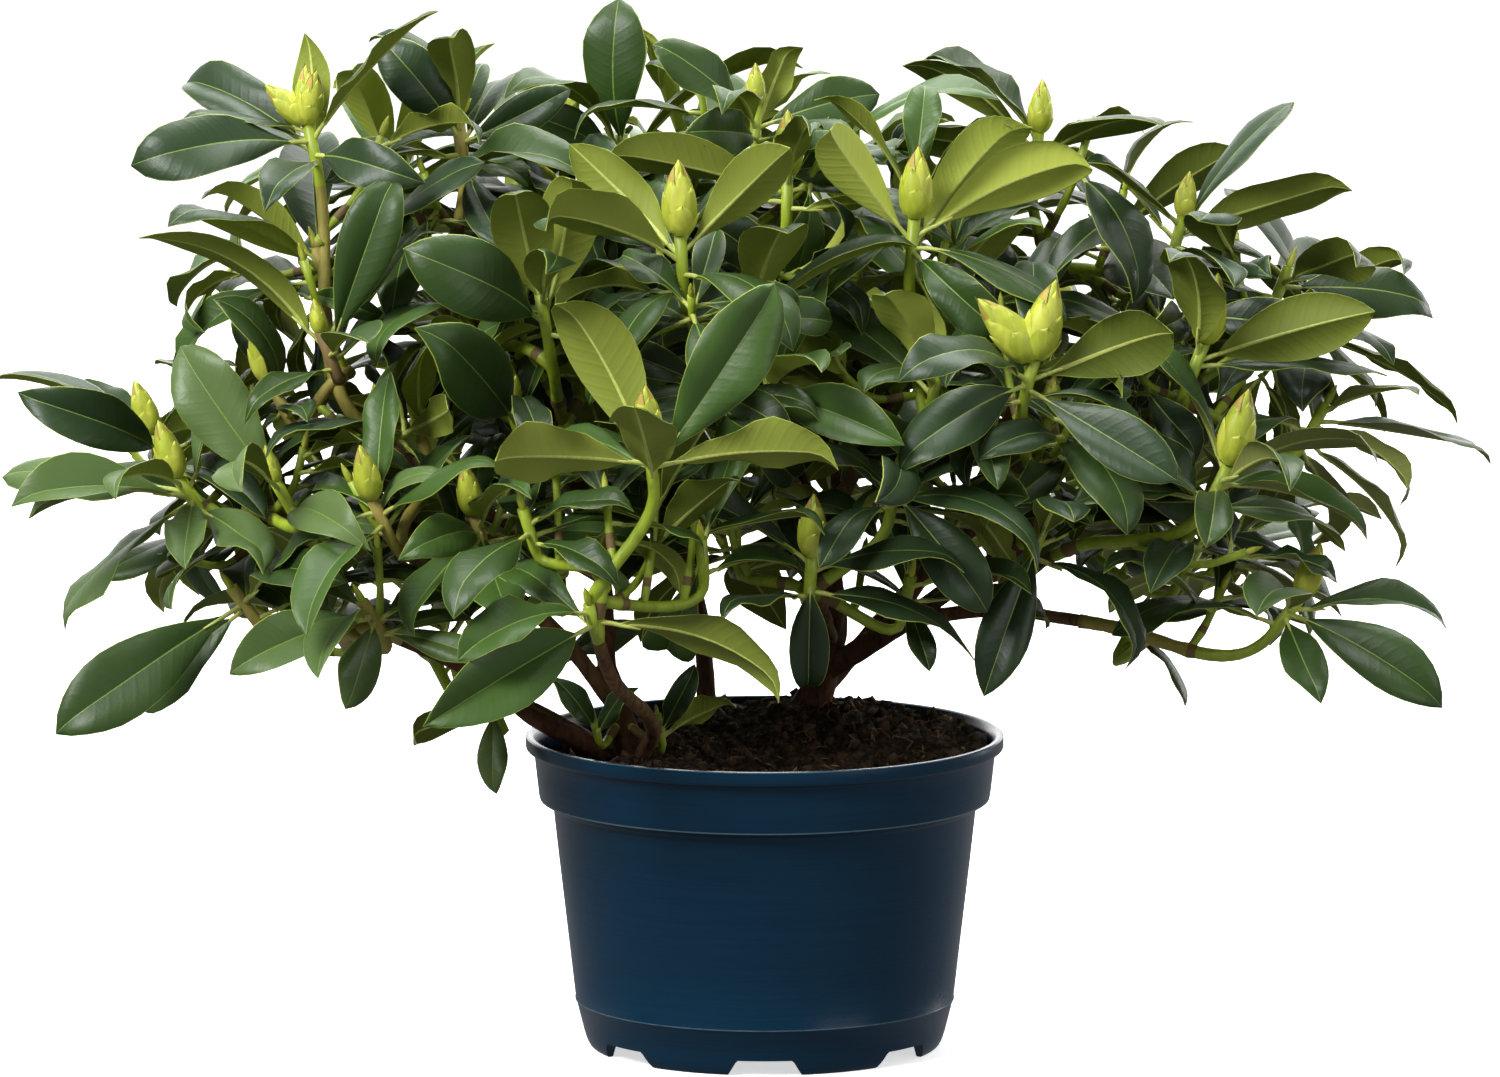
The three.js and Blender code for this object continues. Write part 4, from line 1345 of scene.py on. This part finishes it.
def bark_skin(name, dark, light):
    made = Nodes(name, 0.85, 0.25)
    fibres = made.noise(180, 6, 0.65, place=made.stretched((1, 1, 0.22)), distortion=0.6)
    stops = (0.3, dark), (0.52, light), (0.75, toned(light, 1.5))
    made.finish({"Base Color": made.ramp(fibres, *stops)})
    made.bump(fibres, 0.0016)
    made.bump(made.noise(900, 3), 0.0003)
    return made.material


def soil_skin():
    made = Nodes("peat", 0.95, 0.2)
    crumbs = made.noise(240, 6, 0.7)
    stops = (0.3, srgb(18, 14, 9)), (0.5, srgb(48, 37, 25)), (0.68, srgb(90, 70, 46))
    made.finish({"Base Color": made.ramp(crumbs, *stops)})
    made.bump(crumbs, 0.003)
    made.bump(made.noise(900, 3), 0.0008)
    return made.material


def pot_skin():
    """Moulded dark blue plastic with fine turning lines, and a pale broken line at its seam. The pale
    lines at its ledge and lip are painted highlights.
    """
    made = Nodes("pot_plastic", 0.3, 0.2)
    lines = made.noise(14, 4, 0.6, place=made.stretched((1, 1, 60)))
    cloud = made.noise(9, 3)
    plastic = made.ramp(lines, (0.3, srgb(6, 40, 61)), (0.7, srgb(8, 45, 67)))
    height = made.parts(made.place)["Z"]
    # breaks the seam's pale line into dashes
    seam_dashes = made.spread(made.noise(110, 2), 0.1, 0.9)
    seam = made.calc("MULTIPLY", made.near(height, SEAM_HEIGHT * MM, 0.0003), seam_dashes)
    # painted highlight: a pale line along the ledge's lower edge, where it catches the light
    ledge_highlight = made.calc("MULTIPLY", made.near(height, (LEDGE_HEIGHT - 0.5) * MM, 0.0004), 0.75)
    # painted highlight: a pale line round the top of the lip
    lip = made.calc("MULTIPLY", made.near(height, POT_HEIGHT * MM, 0.0005), 0.6)
    pale = made.calc("ADD", seam, made.calc("ADD", ledge_highlight, lip))
    # the pale colour of the seam line and of the painted highlights at the ledge and lip
    colors = {6: plastic, 7: srgb(88, 110, 120)}
    mix = made.node("ShaderNodeMix", {"Factor": pale, **colors}, data_type="RGBA")
    made.finish({"Base Color": mix.outputs[2], "Roughness": made.spread(cloud, 0.2, 0.32)})
    made.bump(lines, 0.00004)
    made.bump(made.noise(420, 2), 0.00004)
    return made.material


def plain_skin(name, color, roughness, specular=0.4, grain=0.0002):
    made = Nodes(name, roughness, specular)
    spots = made.noise(500, 3)
    made.finish({"Base Color": made.ramp(spots, (0.3, toned(color, 0.85)), (0.7, toned(color, 1.15)))})
    made.bump(spots, grain)
    return made.material


# The last two are lighter copies, painted light for leaves at the low left where the light falls.
UPPER_TINTS = [
    (38, 57, 24), (48, 71, 28), (34, 51, 27), (62, 89, 36), (41, 61, 33), (76, 99, 50), (86, 108, 58),
]
# The fourth, the brightest, is painted light for undersides high in the crown.
LOWER_TINTS = [(128, 139, 54), (108, 119, 43), (124, 130, 70), (176, 188, 80), (90, 103, 34)]
EDGE_SKIN, RIB_SKIN, KEEL_SKIN, FIRST_UPPER = range(4)
FIRST_LOWER = FIRST_UPPER + len(UPPER_TINTS)


def leaf_materials():
    """The leaves' materials, in the order that these numbers give."""
    edge = plain_skin("leaf_edge", srgb(150, 166, 62), 0.5)
    rib = plain_skin("leaf_rib", srgb(112, 134, 58), 0.45)
    keel_rib = plain_skin("leaf_keel", srgb(180, 188, 96), 0.5)
    above = tinted_skins("leaf_above", UPPER_TINTS, 0.42, 0.34, 0.00006)
    below = tinted_skins("leaf_below", LOWER_TINTS, 0.62, 0.22, 0.0001)
    return [edge, rib, keel_rib, *above, *below]


def tinted_skins(name, tints, *surface):
    return [leaf_skin(f"{name}_{i + 1}", srgb(*tint), *surface) for i, tint in enumerate(tints)]


# ---- pieces of the crown


RIGHT_FROM = 120
FAR_RIGHT_FROM = 180


def spray_tints(spray):
    """Which of the tints above and below a spray's leaves have. Lighter tints at the low left and on
    undersides high in the crown are painted light; darker ones at the upper right are painted shade.
    """
    draw = seeded(TINT_SEED + 13 * spray.index)
    at = spray.end.at
    height = shoot_height(at)
    first = draw()
    if first < 0.2 + 0.2 * height:
        above = 1
    elif first < 0.28 + 0.3 * height:
        above = 3
    else:
        above = pick((0, 2, 4), draw())
    # painted light: leaves at the low left get lighter upper tints, where the light falls
    lit_low_left = at.x < -90 and height < 0.4 and at.y < 20
    if lit_low_left and draw() < 0.6:
        above = pick((1, 3, 5, 6), draw())
    # painted shade: high at the right, the lighter upper tints give way to darker ones
    if at.x > RIGHT_FROM and height > 0.5:
        above = {1: 0, 3: 4}.get(above, above)
    # painted light and shade: high in the crown, undersides get the brightest tint, or darker ones at
    # the right
    if height > 0.55:
        below = (1, 4, 4, 1) if at.x > RIGHT_FROM else (3, 0, 0, 1)
    else:
        below = (2, 1, 2) if at.x > FAR_RIGHT_FROM else (1, 0, 4)
    return above, pick(below, draw())


def make_leaves(sprays, materials):
    for m, (name, _, _) in enumerate(MASSES):
        heap = Heap()
        for spray in sprays:
            if spray.mass == m:
                add_leaves(heap, spray)
        piece = heap.piece(f"leaves_{name}", materials)
        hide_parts(f"foliage_{name}")


def add_leaves(heap, spray):
    above, below = spray_tints(spray)
    skins = [EDGE_SKIN, FIRST_UPPER + above, RIB_SKIN, FIRST_LOWER + below, KEEL_SKIN]
    restless = 0.85 if spray.end.at.x > 150 else 0.5  # the share of leaves that twist a lot
    for k, one in enumerate(spray.leaves):
        look = Look(LEAF_SEED * (spray.index + 1) + 101 * k, one.leads, restless)
        points, faces, finishes, marks = leaf_mesh(one, look)
        heap.add(points, faces, np.array(skins)[finishes], marks)
        heap.add(*stalk_mesh(one), KEEL_SKIN)


GREEN, AGED, COLLAR = range(3)
BRIGHT_MASSES = ("front", "low_front", "centre", "centre_right", "right_front", "right_side")
AGED_MASSES = ("left_upper", "upper_left", "left_front", "left_low")
SHOOT_SIDES = 10


def aged_share(spray):
    """How much of a shoot has turned brown: nothing on the bright ones in front."""
    name = MASSES[spray.mass][0]
    if name in AGED_MASSES and spray.index < FINER_FROM:
        return 0.8
    if not spray.twig.from_stem or name in BRIGHT_MASSES:
        return 0.0
    return 0.45


def make_shoots(sprays):
    heap = Heap()
    for spray in sprays:
        add_shoot(heap, spray)
    materials = [
        shoot_skin("green_shoot", srgb(148, 168, 42)),
        shoot_skin("aged_shoot", srgb(150, 138, 62), 0.6),
        shoot_skin("bud_scar", srgb(112, 92, 52), 0.7),
    ]
    piece = heap.piece("shoots", materials)
    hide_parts(*MASS_NODES)


def add_shoot(heap, spray):
    """A shoot, a little uneven, with a swollen collar where last year's bud was."""
    line = spray.twig.smooth
    reach = reached_along(line)
    share = reach / reach[-1]
    aged = aged_share(spray)
    collar = max(6, 0.42 * reach[-1]) if aged else 9
    _, vary = dice(RING_SEED + spray.index)
    radii = lerp(*spray.twig.radii, share) * [1 + vary(0.06) for _ in line]
    crown = np.exp(-(((reach[-1] - reach) / 7) ** 2))
    swollen = np.exp(-(((reach - collar - 3) / 4) ** 2))
    points, faces = tube(line, radii * (1 + 0.18 * crown + 0.22 * swollen), SHOOT_SIDES)
    row = np.minimum(faces[:, 0] // SHOOT_SIDES, len(line) - 1)
    on_collar = (reach[row] > collar - 1) & (reach[row] < collar + 6)
    heap.add(points, faces, np.where(on_collar, COLLAR, np.where(share[row] < aged, AGED, GREEN)))


# ---- buds

SCALE, SCALE_LIGHT, SCALE_TIP = range(3)
SCALE_ROWS, SCALE_COLUMNS = 8, 7
FLOWER_SCALES, LEAF_SCALES = 15, 7
LEAF_BUD_LENGTH, LEAF_BUD_WIDTH = 13, 0.36


def bud_radius(h, length, width):
    """The bud's radius at a height from 0 to 1: round below, drawn out to a point."""
    h = np.clip(h, 0, 1)
    return length * width / 2 * 1.9 * (h**0.5) * (1 - h) ** 0.85 * (1 - 0.2 * h) + 0.15


def bud_scale(k, count, length, width, draw):
    """One scale of a bud: a curved patch that hugs it and ends in a point, standing off a little."""
    order = k / (count - 1)
    low = lerp(0.0, 0.3, order)
    high = lerp(0.3, 1.04, order**0.75) + 0.05 * (draw() - 0.5)
    spread = math.radians(lerp(58, 70, draw()))
    turn = math.radians(k * GOLDEN_ANGLE + 14 * (draw() - 0.5))
    u = np.linspace(0, 1, SCALE_ROWS)[:, None]
    v = np.linspace(-1, 1, SCALE_COLUMNS)[None, :]
    narrow = np.clip(1 - u, 0, 1) ** 0.55 * (0.8 + 0.6 * u)
    angle = turn + spread * v * narrow
    h = lerp(low, high, u) - 0.02 * v**2 * (1 - u)
    lift = 1.04 + 0.06 * (1 - order) + 0.05 * u**2 + 0.03 * (1 - v**2)
    stand_off = length * (0.006 + 0.008 * (1 - order)) * u**3
    radius = bud_radius(h, length, width) * lift + stand_off
    points = np.stack([radius * np.cos(angle), radius * np.sin(angle), h * length + 0 * v], -1)
    faces = grid_faces(SCALE_ROWS, SCALE_COLUMNS)
    row = faces[:, 0] // SCALE_COLUMNS
    light = SCALE_LIGHT if draw() < 0.45 else SCALE
    brown_rows = 0 if order < 0.8 else 2
    finishes = np.where(row >= SCALE_ROWS - 1 - brown_rows, SCALE_TIP, light)
    return points.reshape(-1, 3), faces, finishes


def add_bud(heap, at, axis, length, width, seed, count):
    draw = seeded(seed)
    turn = V((0, 0, 1)).rotation_difference(axis)
    heights = np.linspace(0, 1, 9)
    core = tube([(0, 0, h * length) for h in heights], bud_radius(heights, length, width) * 0.98, 12)
    parts = [(*core, SCALE)] + [bud_scale(k, count, length, width, draw) for k in range(count)]
    matrix = np.array(turn.to_matrix())
    for points, faces, finishes in parts:
        heap.add(points @ matrix.T + np.array(at), faces, finishes)


def make_buds(sprays):
    heap = Heap()
    for spray in sprays:
        end = spray.end
        seed = 7 * spray.index
        if end.bud_length:
            for i, axis in enumerate(bud_axes(end)):
                size = end.bud_length + 2, BUD_WIDTH * 1.02
                add_bud(heap, end.at - axis * 2, axis, *size, seed + i, FLOWER_SCALES)
        else:
            size = LEAF_BUD_LENGTH * end.size, LEAF_BUD_WIDTH
            add_bud(heap, end.at - end.axis, end.axis, *size, seed, LEAF_SCALES)
    materials = [
        shoot_skin("bud_scale", srgb(170, 180, 54)),
        shoot_skin("bud_scale_light", srgb(192, 198, 72)),
        shoot_skin("bud_tip", srgb(176, 152, 66), 0.6),
    ]
    piece = heap.piece("buds", materials)
    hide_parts(*MASS_NODES)


# ---- wood


OLD_WOOD = 4.9  # limbs that start thicker than this have old bark and more sides
OLD_BARK, YOUNG_BARK = range(2)


def make_wood(grown):
    heap = Heap()
    names = list(grown)
    for limb in grown.values():
        add_limb(heap, limb)
    old = bark_skin("old_bark", srgb(40, 25, 17), srgb(84, 55, 36))
    young = bark_skin("young_bark", srgb(58, 40, 26), srgb(102, 76, 48))
    piece = heap.piece("wood", [old, young])
    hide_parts(*names)


def add_limb(heap, grown):
    """A stem or bough with uneven bark. A stem's foot spreads in lobes."""
    limb = grown.limb
    is_old = limb.radii[0] > OLD_WOOD
    line = grown.route.spaced(max(12, int(grown.route.length / 2.2)))
    reach = reached_along(line)
    radii = lerp(*limb.radii, reach / reach[-1])
    sides = 22 if is_old else 14
    turn = np.arange(sides) * 2 * math.pi / sides
    wavy = np.ones((len(line), sides))
    if limb.flare:
        past = np.maximum(0, reach - STEM_BURIED)
        lobes = 1 + 0.3 * np.sin(3 * turn + 1.0) + 0.18 * np.sin(5 * turn + 2.1)
        wavy += limb.flare * np.exp(-past / FLARE_REACH)[:, None] * lobes[None, :]
    for i in range(len(line)):
        for j in range(sides):
            x, y = math.cos(turn[j]), math.sin(turn[j])
            coarse = noise.noise(V((x * 2.2, y * 2.2, reach[i] * 0.045)))
            fine = noise.noise(V((x * 6, y * 6, reach[i] * 0.09 + 40)))
            wavy[i, j] += 0.16 * coarse + 0.1 * fine
    points, faces = tube(line, radii[:, None] * wavy, sides)
    heap.add(points, faces, OLD_BARK if is_old else YOUNG_BARK)


# ---- pot and soil


POT_SIDES = 160


def beside(radius, height, *offsets):
    """Points of a profile, each given by how far it lies out from a corner and above it."""
    return [(radius + out, height + up) for out, up in offsets]


def pot_profile():
    """From the middle of the underside out, up the wall, over the lip and down to the floor."""
    skirt = FOOT_RADIUS - SKIRT
    lip = (0, -2.4), (-0.2, -0.7), (-0.9, 0), (-3.0, 0), (-4.0, -0.5), (-4.8, -1.8), (-6.8, -4.5)
    return [
        (0, 0),
        *beside(HUB_RADIUS, 0, (-0.6, 0), (0, 0.4), (HUB_SLOPE, DRAIN_HEIGHT)),
        *beside(skirt, 0, (0, DRAIN_HEIGHT), (0, 0.5), (0.5, 0)),
        *beside(FOOT_RADIUS, 0, (-0.6, 0), (0.5, 0.9), (1.7, 3.0), (FOOT_BULGE, FOOT_ROUND)),
        (98.6, 8.6),
        *beside(SEAM_RADIUS, SEAM_HEIGHT, (-0.25, -1.0), (0.35, -0.5), (0.35, 0.2), (0.1, 0.7)),
        *[(wall_radius(height), height) for height in (52, 78, 104)],
        *beside(WALL_TOP_RADIUS, WALL_TOP_HEIGHT, (-0.3, -1.2), (0.6, 0.4)),
        *beside(LEDGE_RADIUS, LEDGE_HEIGHT, (-1.2, -1.6), (-0.3, -1.0), (0, 0), (0.3, 1.4)),
        (124.2, 150),
        *beside(BAND_RADIUS, BAND_TOP, (-0.15, -1.2), (0.6, -0.3)),
        *beside(RIM_RADIUS, POT_HEIGHT - RIM_DEPTH, (-1.4, -0.5), (-0.4, 0.3), (0, 1.4)),
        *beside(RIM_RADIUS, POT_HEIGHT, *lip),
        (BAND_RADIUS - WALL - 0.1, BAND_TOP - 2),
        (LEDGE_RADIUS - WALL, LEDGE_HEIGHT + 0.5),
        (WALL_TOP_RADIUS - WALL, WALL_TOP_HEIGHT + 0.5),
        (94.9, 11.6), (45.4, 11.6), (42.4, WALL),
        (0, WALL),
    ]


def make_pot():
    pot = lathed("pot_shell", pot_profile(), POT_SIDES)
    cutters = [notch_cutter(i) for i in range(NOTCHES)]
    for cutter in cutters:
        cut = pot.modifiers.new("notch", "BOOLEAN")
        cut.object = cutter
        cut.solver = "EXACT"
    settle(pot)
    for cutter in cutters:
        bpy.data.objects.remove(cutter)
    pot.data.materials.clear()
    pot.data.materials.append(pot_skin())
    for polygon in pot.data.polygons:
        polygon.material_index = 0
        polygon.use_smooth = True
    pot.data.set_sharp_from_angle(angle=math.radians(38))
    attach(pot, "root")
    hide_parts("pot")


def wall_radius(height):
    """The outside of the pot's wall between its seam and its ledge."""
    share = (height - SEAM_HEIGHT) / (WALL_TOP_HEIGHT - SEAM_HEIGHT)
    return lerp(SEAM_RADIUS, WALL_TOP_RADIUS, share)


def settle(obj):
    """Applies an object's modifiers to its mesh."""
    graph = bpy.context.evaluated_depsgraph_get()
    mesh = bpy.data.meshes.new_from_object(obj.evaluated_get(graph))
    obj.modifiers.clear()
    obj.data = mesh


def circle(radius, count):
    turns = (2 * math.pi * j / count for j in range(count))
    return [(radius * math.cos(a), radius * math.sin(a)) for a in turns]


def lathed(name, profile, segments):
    """A closed surface of revolution. Its profile starts and ends on the axis."""
    (_, bottom), *inner, (_, top) = profile
    points = [(x, y, z) for r, z in inner for x, y in circle(r, segments)]
    low, high = len(points), len(points) + 1
    points += [(0, 0, bottom), (0, 0, top)]
    faces = []
    for i in range(0, low - segments, segments):
        for j in range(segments):
            k = (j + 1) % segments
            faces.append((i + j, i + k, i + segments + k, i + segments + j))
    base = low - segments
    for j in range(segments):
        k = (j + 1) % segments
        faces.append((low, k, j))
        faces.append((high, base + j, base + k))
    return solid(name, [tuple(c * MM for c in p) for p in points], faces)


def notch_cutter(index):
    """A bar through the foot ring, as wide as a notch, with rounded upper corners."""
    top = DRAIN_WIDTH / 2
    bottom = top + DRAIN_SPREAD / 2
    ceiling = DRAIN_HEIGHT - 0.4
    flat = [(-bottom, -2), (bottom, -2), (top + 0.8, ceiling - 1.2), (top - 0.4, ceiling)]
    flat += [(-top + 0.4, ceiling), (-top - 0.8, ceiling - 1.2)]
    angle = index * 2 * math.pi / NOTCHES
    cos, sin = math.cos(angle), math.sin(angle)
    points = []
    for y in (-FOOT_RADIUS - DRAIN_DEPTH / 2, -FOOT_RADIUS + DRAIN_DEPTH / 2):
        points += [((x * cos - y * sin) * MM, (x * sin + y * cos) * MM, z * MM) for x, z in flat]
    n = len(flat)
    faces = [tuple(range(n)), tuple(range(2 * n - 1, n - 1, -1))]
    faces += [((i + 1) % n, i, n + i, n + (i + 1) % n) for i in range(n)]
    return solid("notch", points, faces)


SOIL_RINGS, SOIL_SPOKES = 52, 150
SOIL_REACH = 121
SOIL_FOOT, SOIL_FLOOR = 119, 146
CRUMBS, CHIPS, ROOTS = 1500, 190, 30
PEAT, CRUMB, CHIP, ROOT = range(4)


def soil_height(x, y):
    """The soil's surface: heaped round the stems and at the back and right, lower at the left."""
    back_right = 9.0 * smoothstep((x * 0.7 + y * 0.7 + 40) / 110)
    left = -5.0 * smoothstep((-x - 70) / 60)
    near_stock = 7 * math.exp(-((x + 60) ** 2 + (y + 20) ** 2) / 1500)
    near_trunk = 8 * math.exp(-((x - 26) ** 2 + (y - 72) ** 2) / 1200)
    rough = 4.2 * noise.noise(V((x, y, 0)) * 0.045) + 2.6 * noise.noise(V((x, y, 9)) * 0.16)
    rough += 2.4 * noise.noise(V((x, y, 20)) * 0.4)
    edge = -2.5 * smoothstep((math.hypot(x, y) - 114) / 8)
    return SOIL_TOP - 3.5 + back_right + left + near_stock + near_trunk + rough + edge


def make_soil():
    """The soil's surface, down to inside the pot's wall, with what lies on it."""
    heap = Heap()
    points = [(0, 0, soil_height(0, 0))]
    for i in range(1, SOIL_RINGS + 1):
        ring = circle(SOIL_REACH * i / SOIL_RINGS, SOIL_SPOKES)
        points += [(x, y, soil_height(x, y)) for x, y in ring]
    points += [(x, y, SOIL_FLOOR) for x, y in circle(SOIL_FOOT, SOIL_SPOKES)]
    middle = [(0, 1 + j, 1 + (j + 1) % SOIL_SPOKES) for j in range(SOIL_SPOKES)]
    skin = grid_faces(SOIL_RINGS + 1, SOIL_SPOKES, True) + 1
    heap.add(points, np.vstack([np.array(middle), skin[:, ::-1]]), PEAT)
    random = np.random.RandomState(CRUMB_SEED)
    for add, count in ((add_crumb, CRUMBS), (add_chip, CHIPS), (add_root, ROOTS)):
        for _ in range(count):
            add(heap, random)
    materials = [
        soil_skin(),
        plain_skin("bark_crumb", srgb(66, 50, 33), 0.9, 0.2, 0.0006),
        plain_skin("pale_chip", srgb(132, 104, 66), 0.85, 0.2, 0.0004),
        plain_skin("fine_root", srgb(104, 76, 46), 0.8, 0.2, 0.0002),
    ]
    piece = heap.piece("soil_surface", materials)
    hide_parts("soil")


def soil_place(random, reach=117):
    r = reach * math.sqrt(random.rand())
    a = 2 * math.pi * random.rand()
    return r * math.cos(a), r * math.sin(a)


LUMP = [(0, 0, 1), (1, 0, 0), (0, 1, 0), (-1, 0, 0), (0, -1, 0), (0, 0, -1)]
LUMP_FACES = [(0, 1, 2), (0, 2, 3), (0, 3, 4), (0, 4, 1), (5, 2, 1), (5, 3, 2), (5, 4, 3), (5, 1, 4)]
ROOT_POINTS = 9


def add_crumb(heap, random):
    """A lump of peat or bark, with six uneven corners."""
    x, y = soil_place(random)
    size = 0.8 + 4.2 * random.rand() ** 3
    points = np.array(LUMP) * (size * (0.6 + 0.7 * random.rand(6, 1)))
    turn = Quaternion(V(random.randn(3)).normalized(), 6.3 * random.rand()).to_matrix()
    points = points @ np.array(turn).T + np.array((x, y, soil_height(x, y) + 0.3 * size))
    heap.add(points, LUMP_FACES, PEAT if random.rand() < 0.55 else CRUMB)


def add_chip(heap, random):
    """A thin splinter, which lies nearly flat."""
    x, y = soil_place(random)
    long, wide, thick = 2 + 7 * random.rand() ** 2, 0.7 + 1.3 * random.rand(), 0.5
    points = np.array(LUMP) * np.array((long, wide, thick))
    heading = Quaternion(V((0, 0, 1)), 6.3 * random.rand())
    turn = heading @ Quaternion(V((0, 1, 0)), 0.5 * random.randn())
    points = points @ np.array(turn.to_matrix()).T + np.array((x, y, soil_height(x, y) + 0.8))
    heap.add(points, LUMP_FACES, CHIP if random.rand() < 0.5 else CRUMB)


def add_root(heap, random):
    """A fine root, which wanders over the soil. One that would reach the wall is left out."""
    x, y = soil_place(random, 100)
    heading = 6.3 * random.rand()
    points = []
    for _ in range(ROOT_POINTS):
        points.append((x, y, soil_height(x, y) + 0.8 + 1.6 * random.rand()))
        heading += 0.7 * random.randn()
        x += 3.2 * math.cos(heading)
        y += 3.2 * math.sin(heading)
    if max(math.hypot(x, y) for x, y, _ in points) < 116:
        radius = 0.3 + 0.25 * random.rand()
        heap.add(*tube(points, np.full(ROOT_POINTS, radius), 5), ROOT)


# ---- the studio


LIGHTS_AIM = (0, 0, 0.3)
LIGHTS = [  # name, place, size, power
    ("key", (-2.0, -1.9, 2.4), (1.4, 1.4), 162),
    ("fill", (2.2, -2.0, 1.2), (1.8, 1.8), 24),
    ("top", (0.2, 0.7, 2.8), (2.0, 2.0), 105),
    ("back", (0.0, 2.8, 1.4), (3.2, 2.2), 48),
    ("rim", (2.2, 1.7, 0.7), (0.6, 1.4), 20),
]
SOFT_LIGHT = {"From Min": -0.1, "From Max": 1.0, "To Min": 0.16, "To Max": 1.5}


def area_light(name, place, size, power):
    data = bpy.data.lights.new(name, "AREA")
    data.shape = "RECTANGLE"
    data.size, data.size_y = size
    data.energy = power
    made = placed(name, data)
    made.location = place
    made.rotation_euler = (V(LIGHTS_AIM) - V(place)).to_track_quat("-Z", "Y").to_euler()


def make_studio():
    for light in LIGHTS:
        area_light(*light)
    make_world()
    make_floor()
    bpy.context.scene.view_settings.view_transform = "Standard"


def split_rays(tree, seen_shader, lighting_shader, output):
    """Sends one shader to what the camera sees, and the other to all other light."""
    seen_by_camera = add_node(tree, "ShaderNodeLightPath", {}).outputs["Is Camera Ray"]
    sockets = {"Fac": seen_by_camera, 1: lighting_shader, 2: seen_shader}
    mix = add_node(tree, "ShaderNodeMixShader", sockets)
    tree.links.new(mix.outputs["Shader"], output)


def background(tree, strength):
    sockets = {"Color": (1, 1, 1, 1), "Strength": strength}
    return add_node(tree, "ShaderNodeBackground", sockets).outputs["Background"]


def make_world():
    """White behind the plant, with soft light that comes mostly from behind it."""
    world = bpy.data.worlds.new("studio")
    bpy.context.scene.world = world
    world.use_nodes = True
    tree = world.node_tree
    tree.nodes.clear()
    output = tree.nodes.new("ShaderNodeOutputWorld")
    direction = add_node(tree, "ShaderNodeTexCoord", {}).outputs["Generated"]
    parts = add_node(tree, "ShaderNodeSeparateXYZ", {"Vector": direction})
    strength = add_node(tree, "ShaderNodeMapRange", {"Value": parts.outputs["Y"], **SOFT_LIGHT})
    lights = background(tree, 1.0), background(tree, strength.outputs["Result"])
    split_rays(tree, *lights, output.inputs["Surface"])


FLOOR_HALF = 14
FLOOR_LOOK = {"Base Color": (0.9, 0.9, 0.9, 1), "Roughness": 0.9}
FLOOR_LOOK |= {"Emission Color": (1, 1, 1, 1), "Emission Strength": 0.62}
FLOOR_LIGHT = 0.27


def make_floor():
    """A pale floor, which lights the plant less than it would if it were as white as it looks."""
    corners = [(x * FLOOR_HALF, y * FLOOR_HALF, 0) for x, y in ((-1, -1), (1, -1), (1, 1), (-1, 1))]
    floor = solid("floor", corners, [(0, 1, 2, 3)])
    material = bpy.data.materials.new("pale_floor")
    material.use_nodes = True
    tree = material.node_tree
    shader = tree.nodes["Principled BSDF"]
    fill(tree, shader, FLOOR_LOOK)
    dim = add_node(tree, "ShaderNodeEmission", {"Strength": FLOOR_LIGHT})
    output = tree.nodes["Material Output"].inputs["Surface"]
    split_rays(tree, shader.outputs["BSDF"], dim.outputs["Emission"], output)
    floor.data.materials.append(material)


CAMERA_DISTANCE = 6.0
CAMERA_HEIGHT = 1.163
CAMERA_TARGET = (-0.008, 0, 0.278)
FRAME_WIDTH = 0.8135  # what the photograph's frame takes in at the plant
SENSOR_WIDTH = 36


def make_camera():
    data = bpy.data.cameras.new("camera")
    made = placed("camera", data)
    target = V(CAMERA_TARGET)
    made.location = (target.x, -CAMERA_DISTANCE, CAMERA_HEIGHT)
    away = target - made.location
    made.rotation_euler = away.to_track_quat("-Z", "Y").to_euler()
    data.sensor_width = SENSOR_WIDTH
    data.lens = SENSOR_WIDTH * away.length / FRAME_WIDTH
    data.clip_end = 60
    bpy.context.scene.camera = made


# ---- the whole

limbs_grown = grow_limbs()
crown = grow_crown(limbs_grown)
make_leaves(crown, leaf_materials())
make_shoots(crown)
make_buds(crown)
make_wood(limbs_grown)
make_pot()
make_soil()
make_studio()
make_camera()
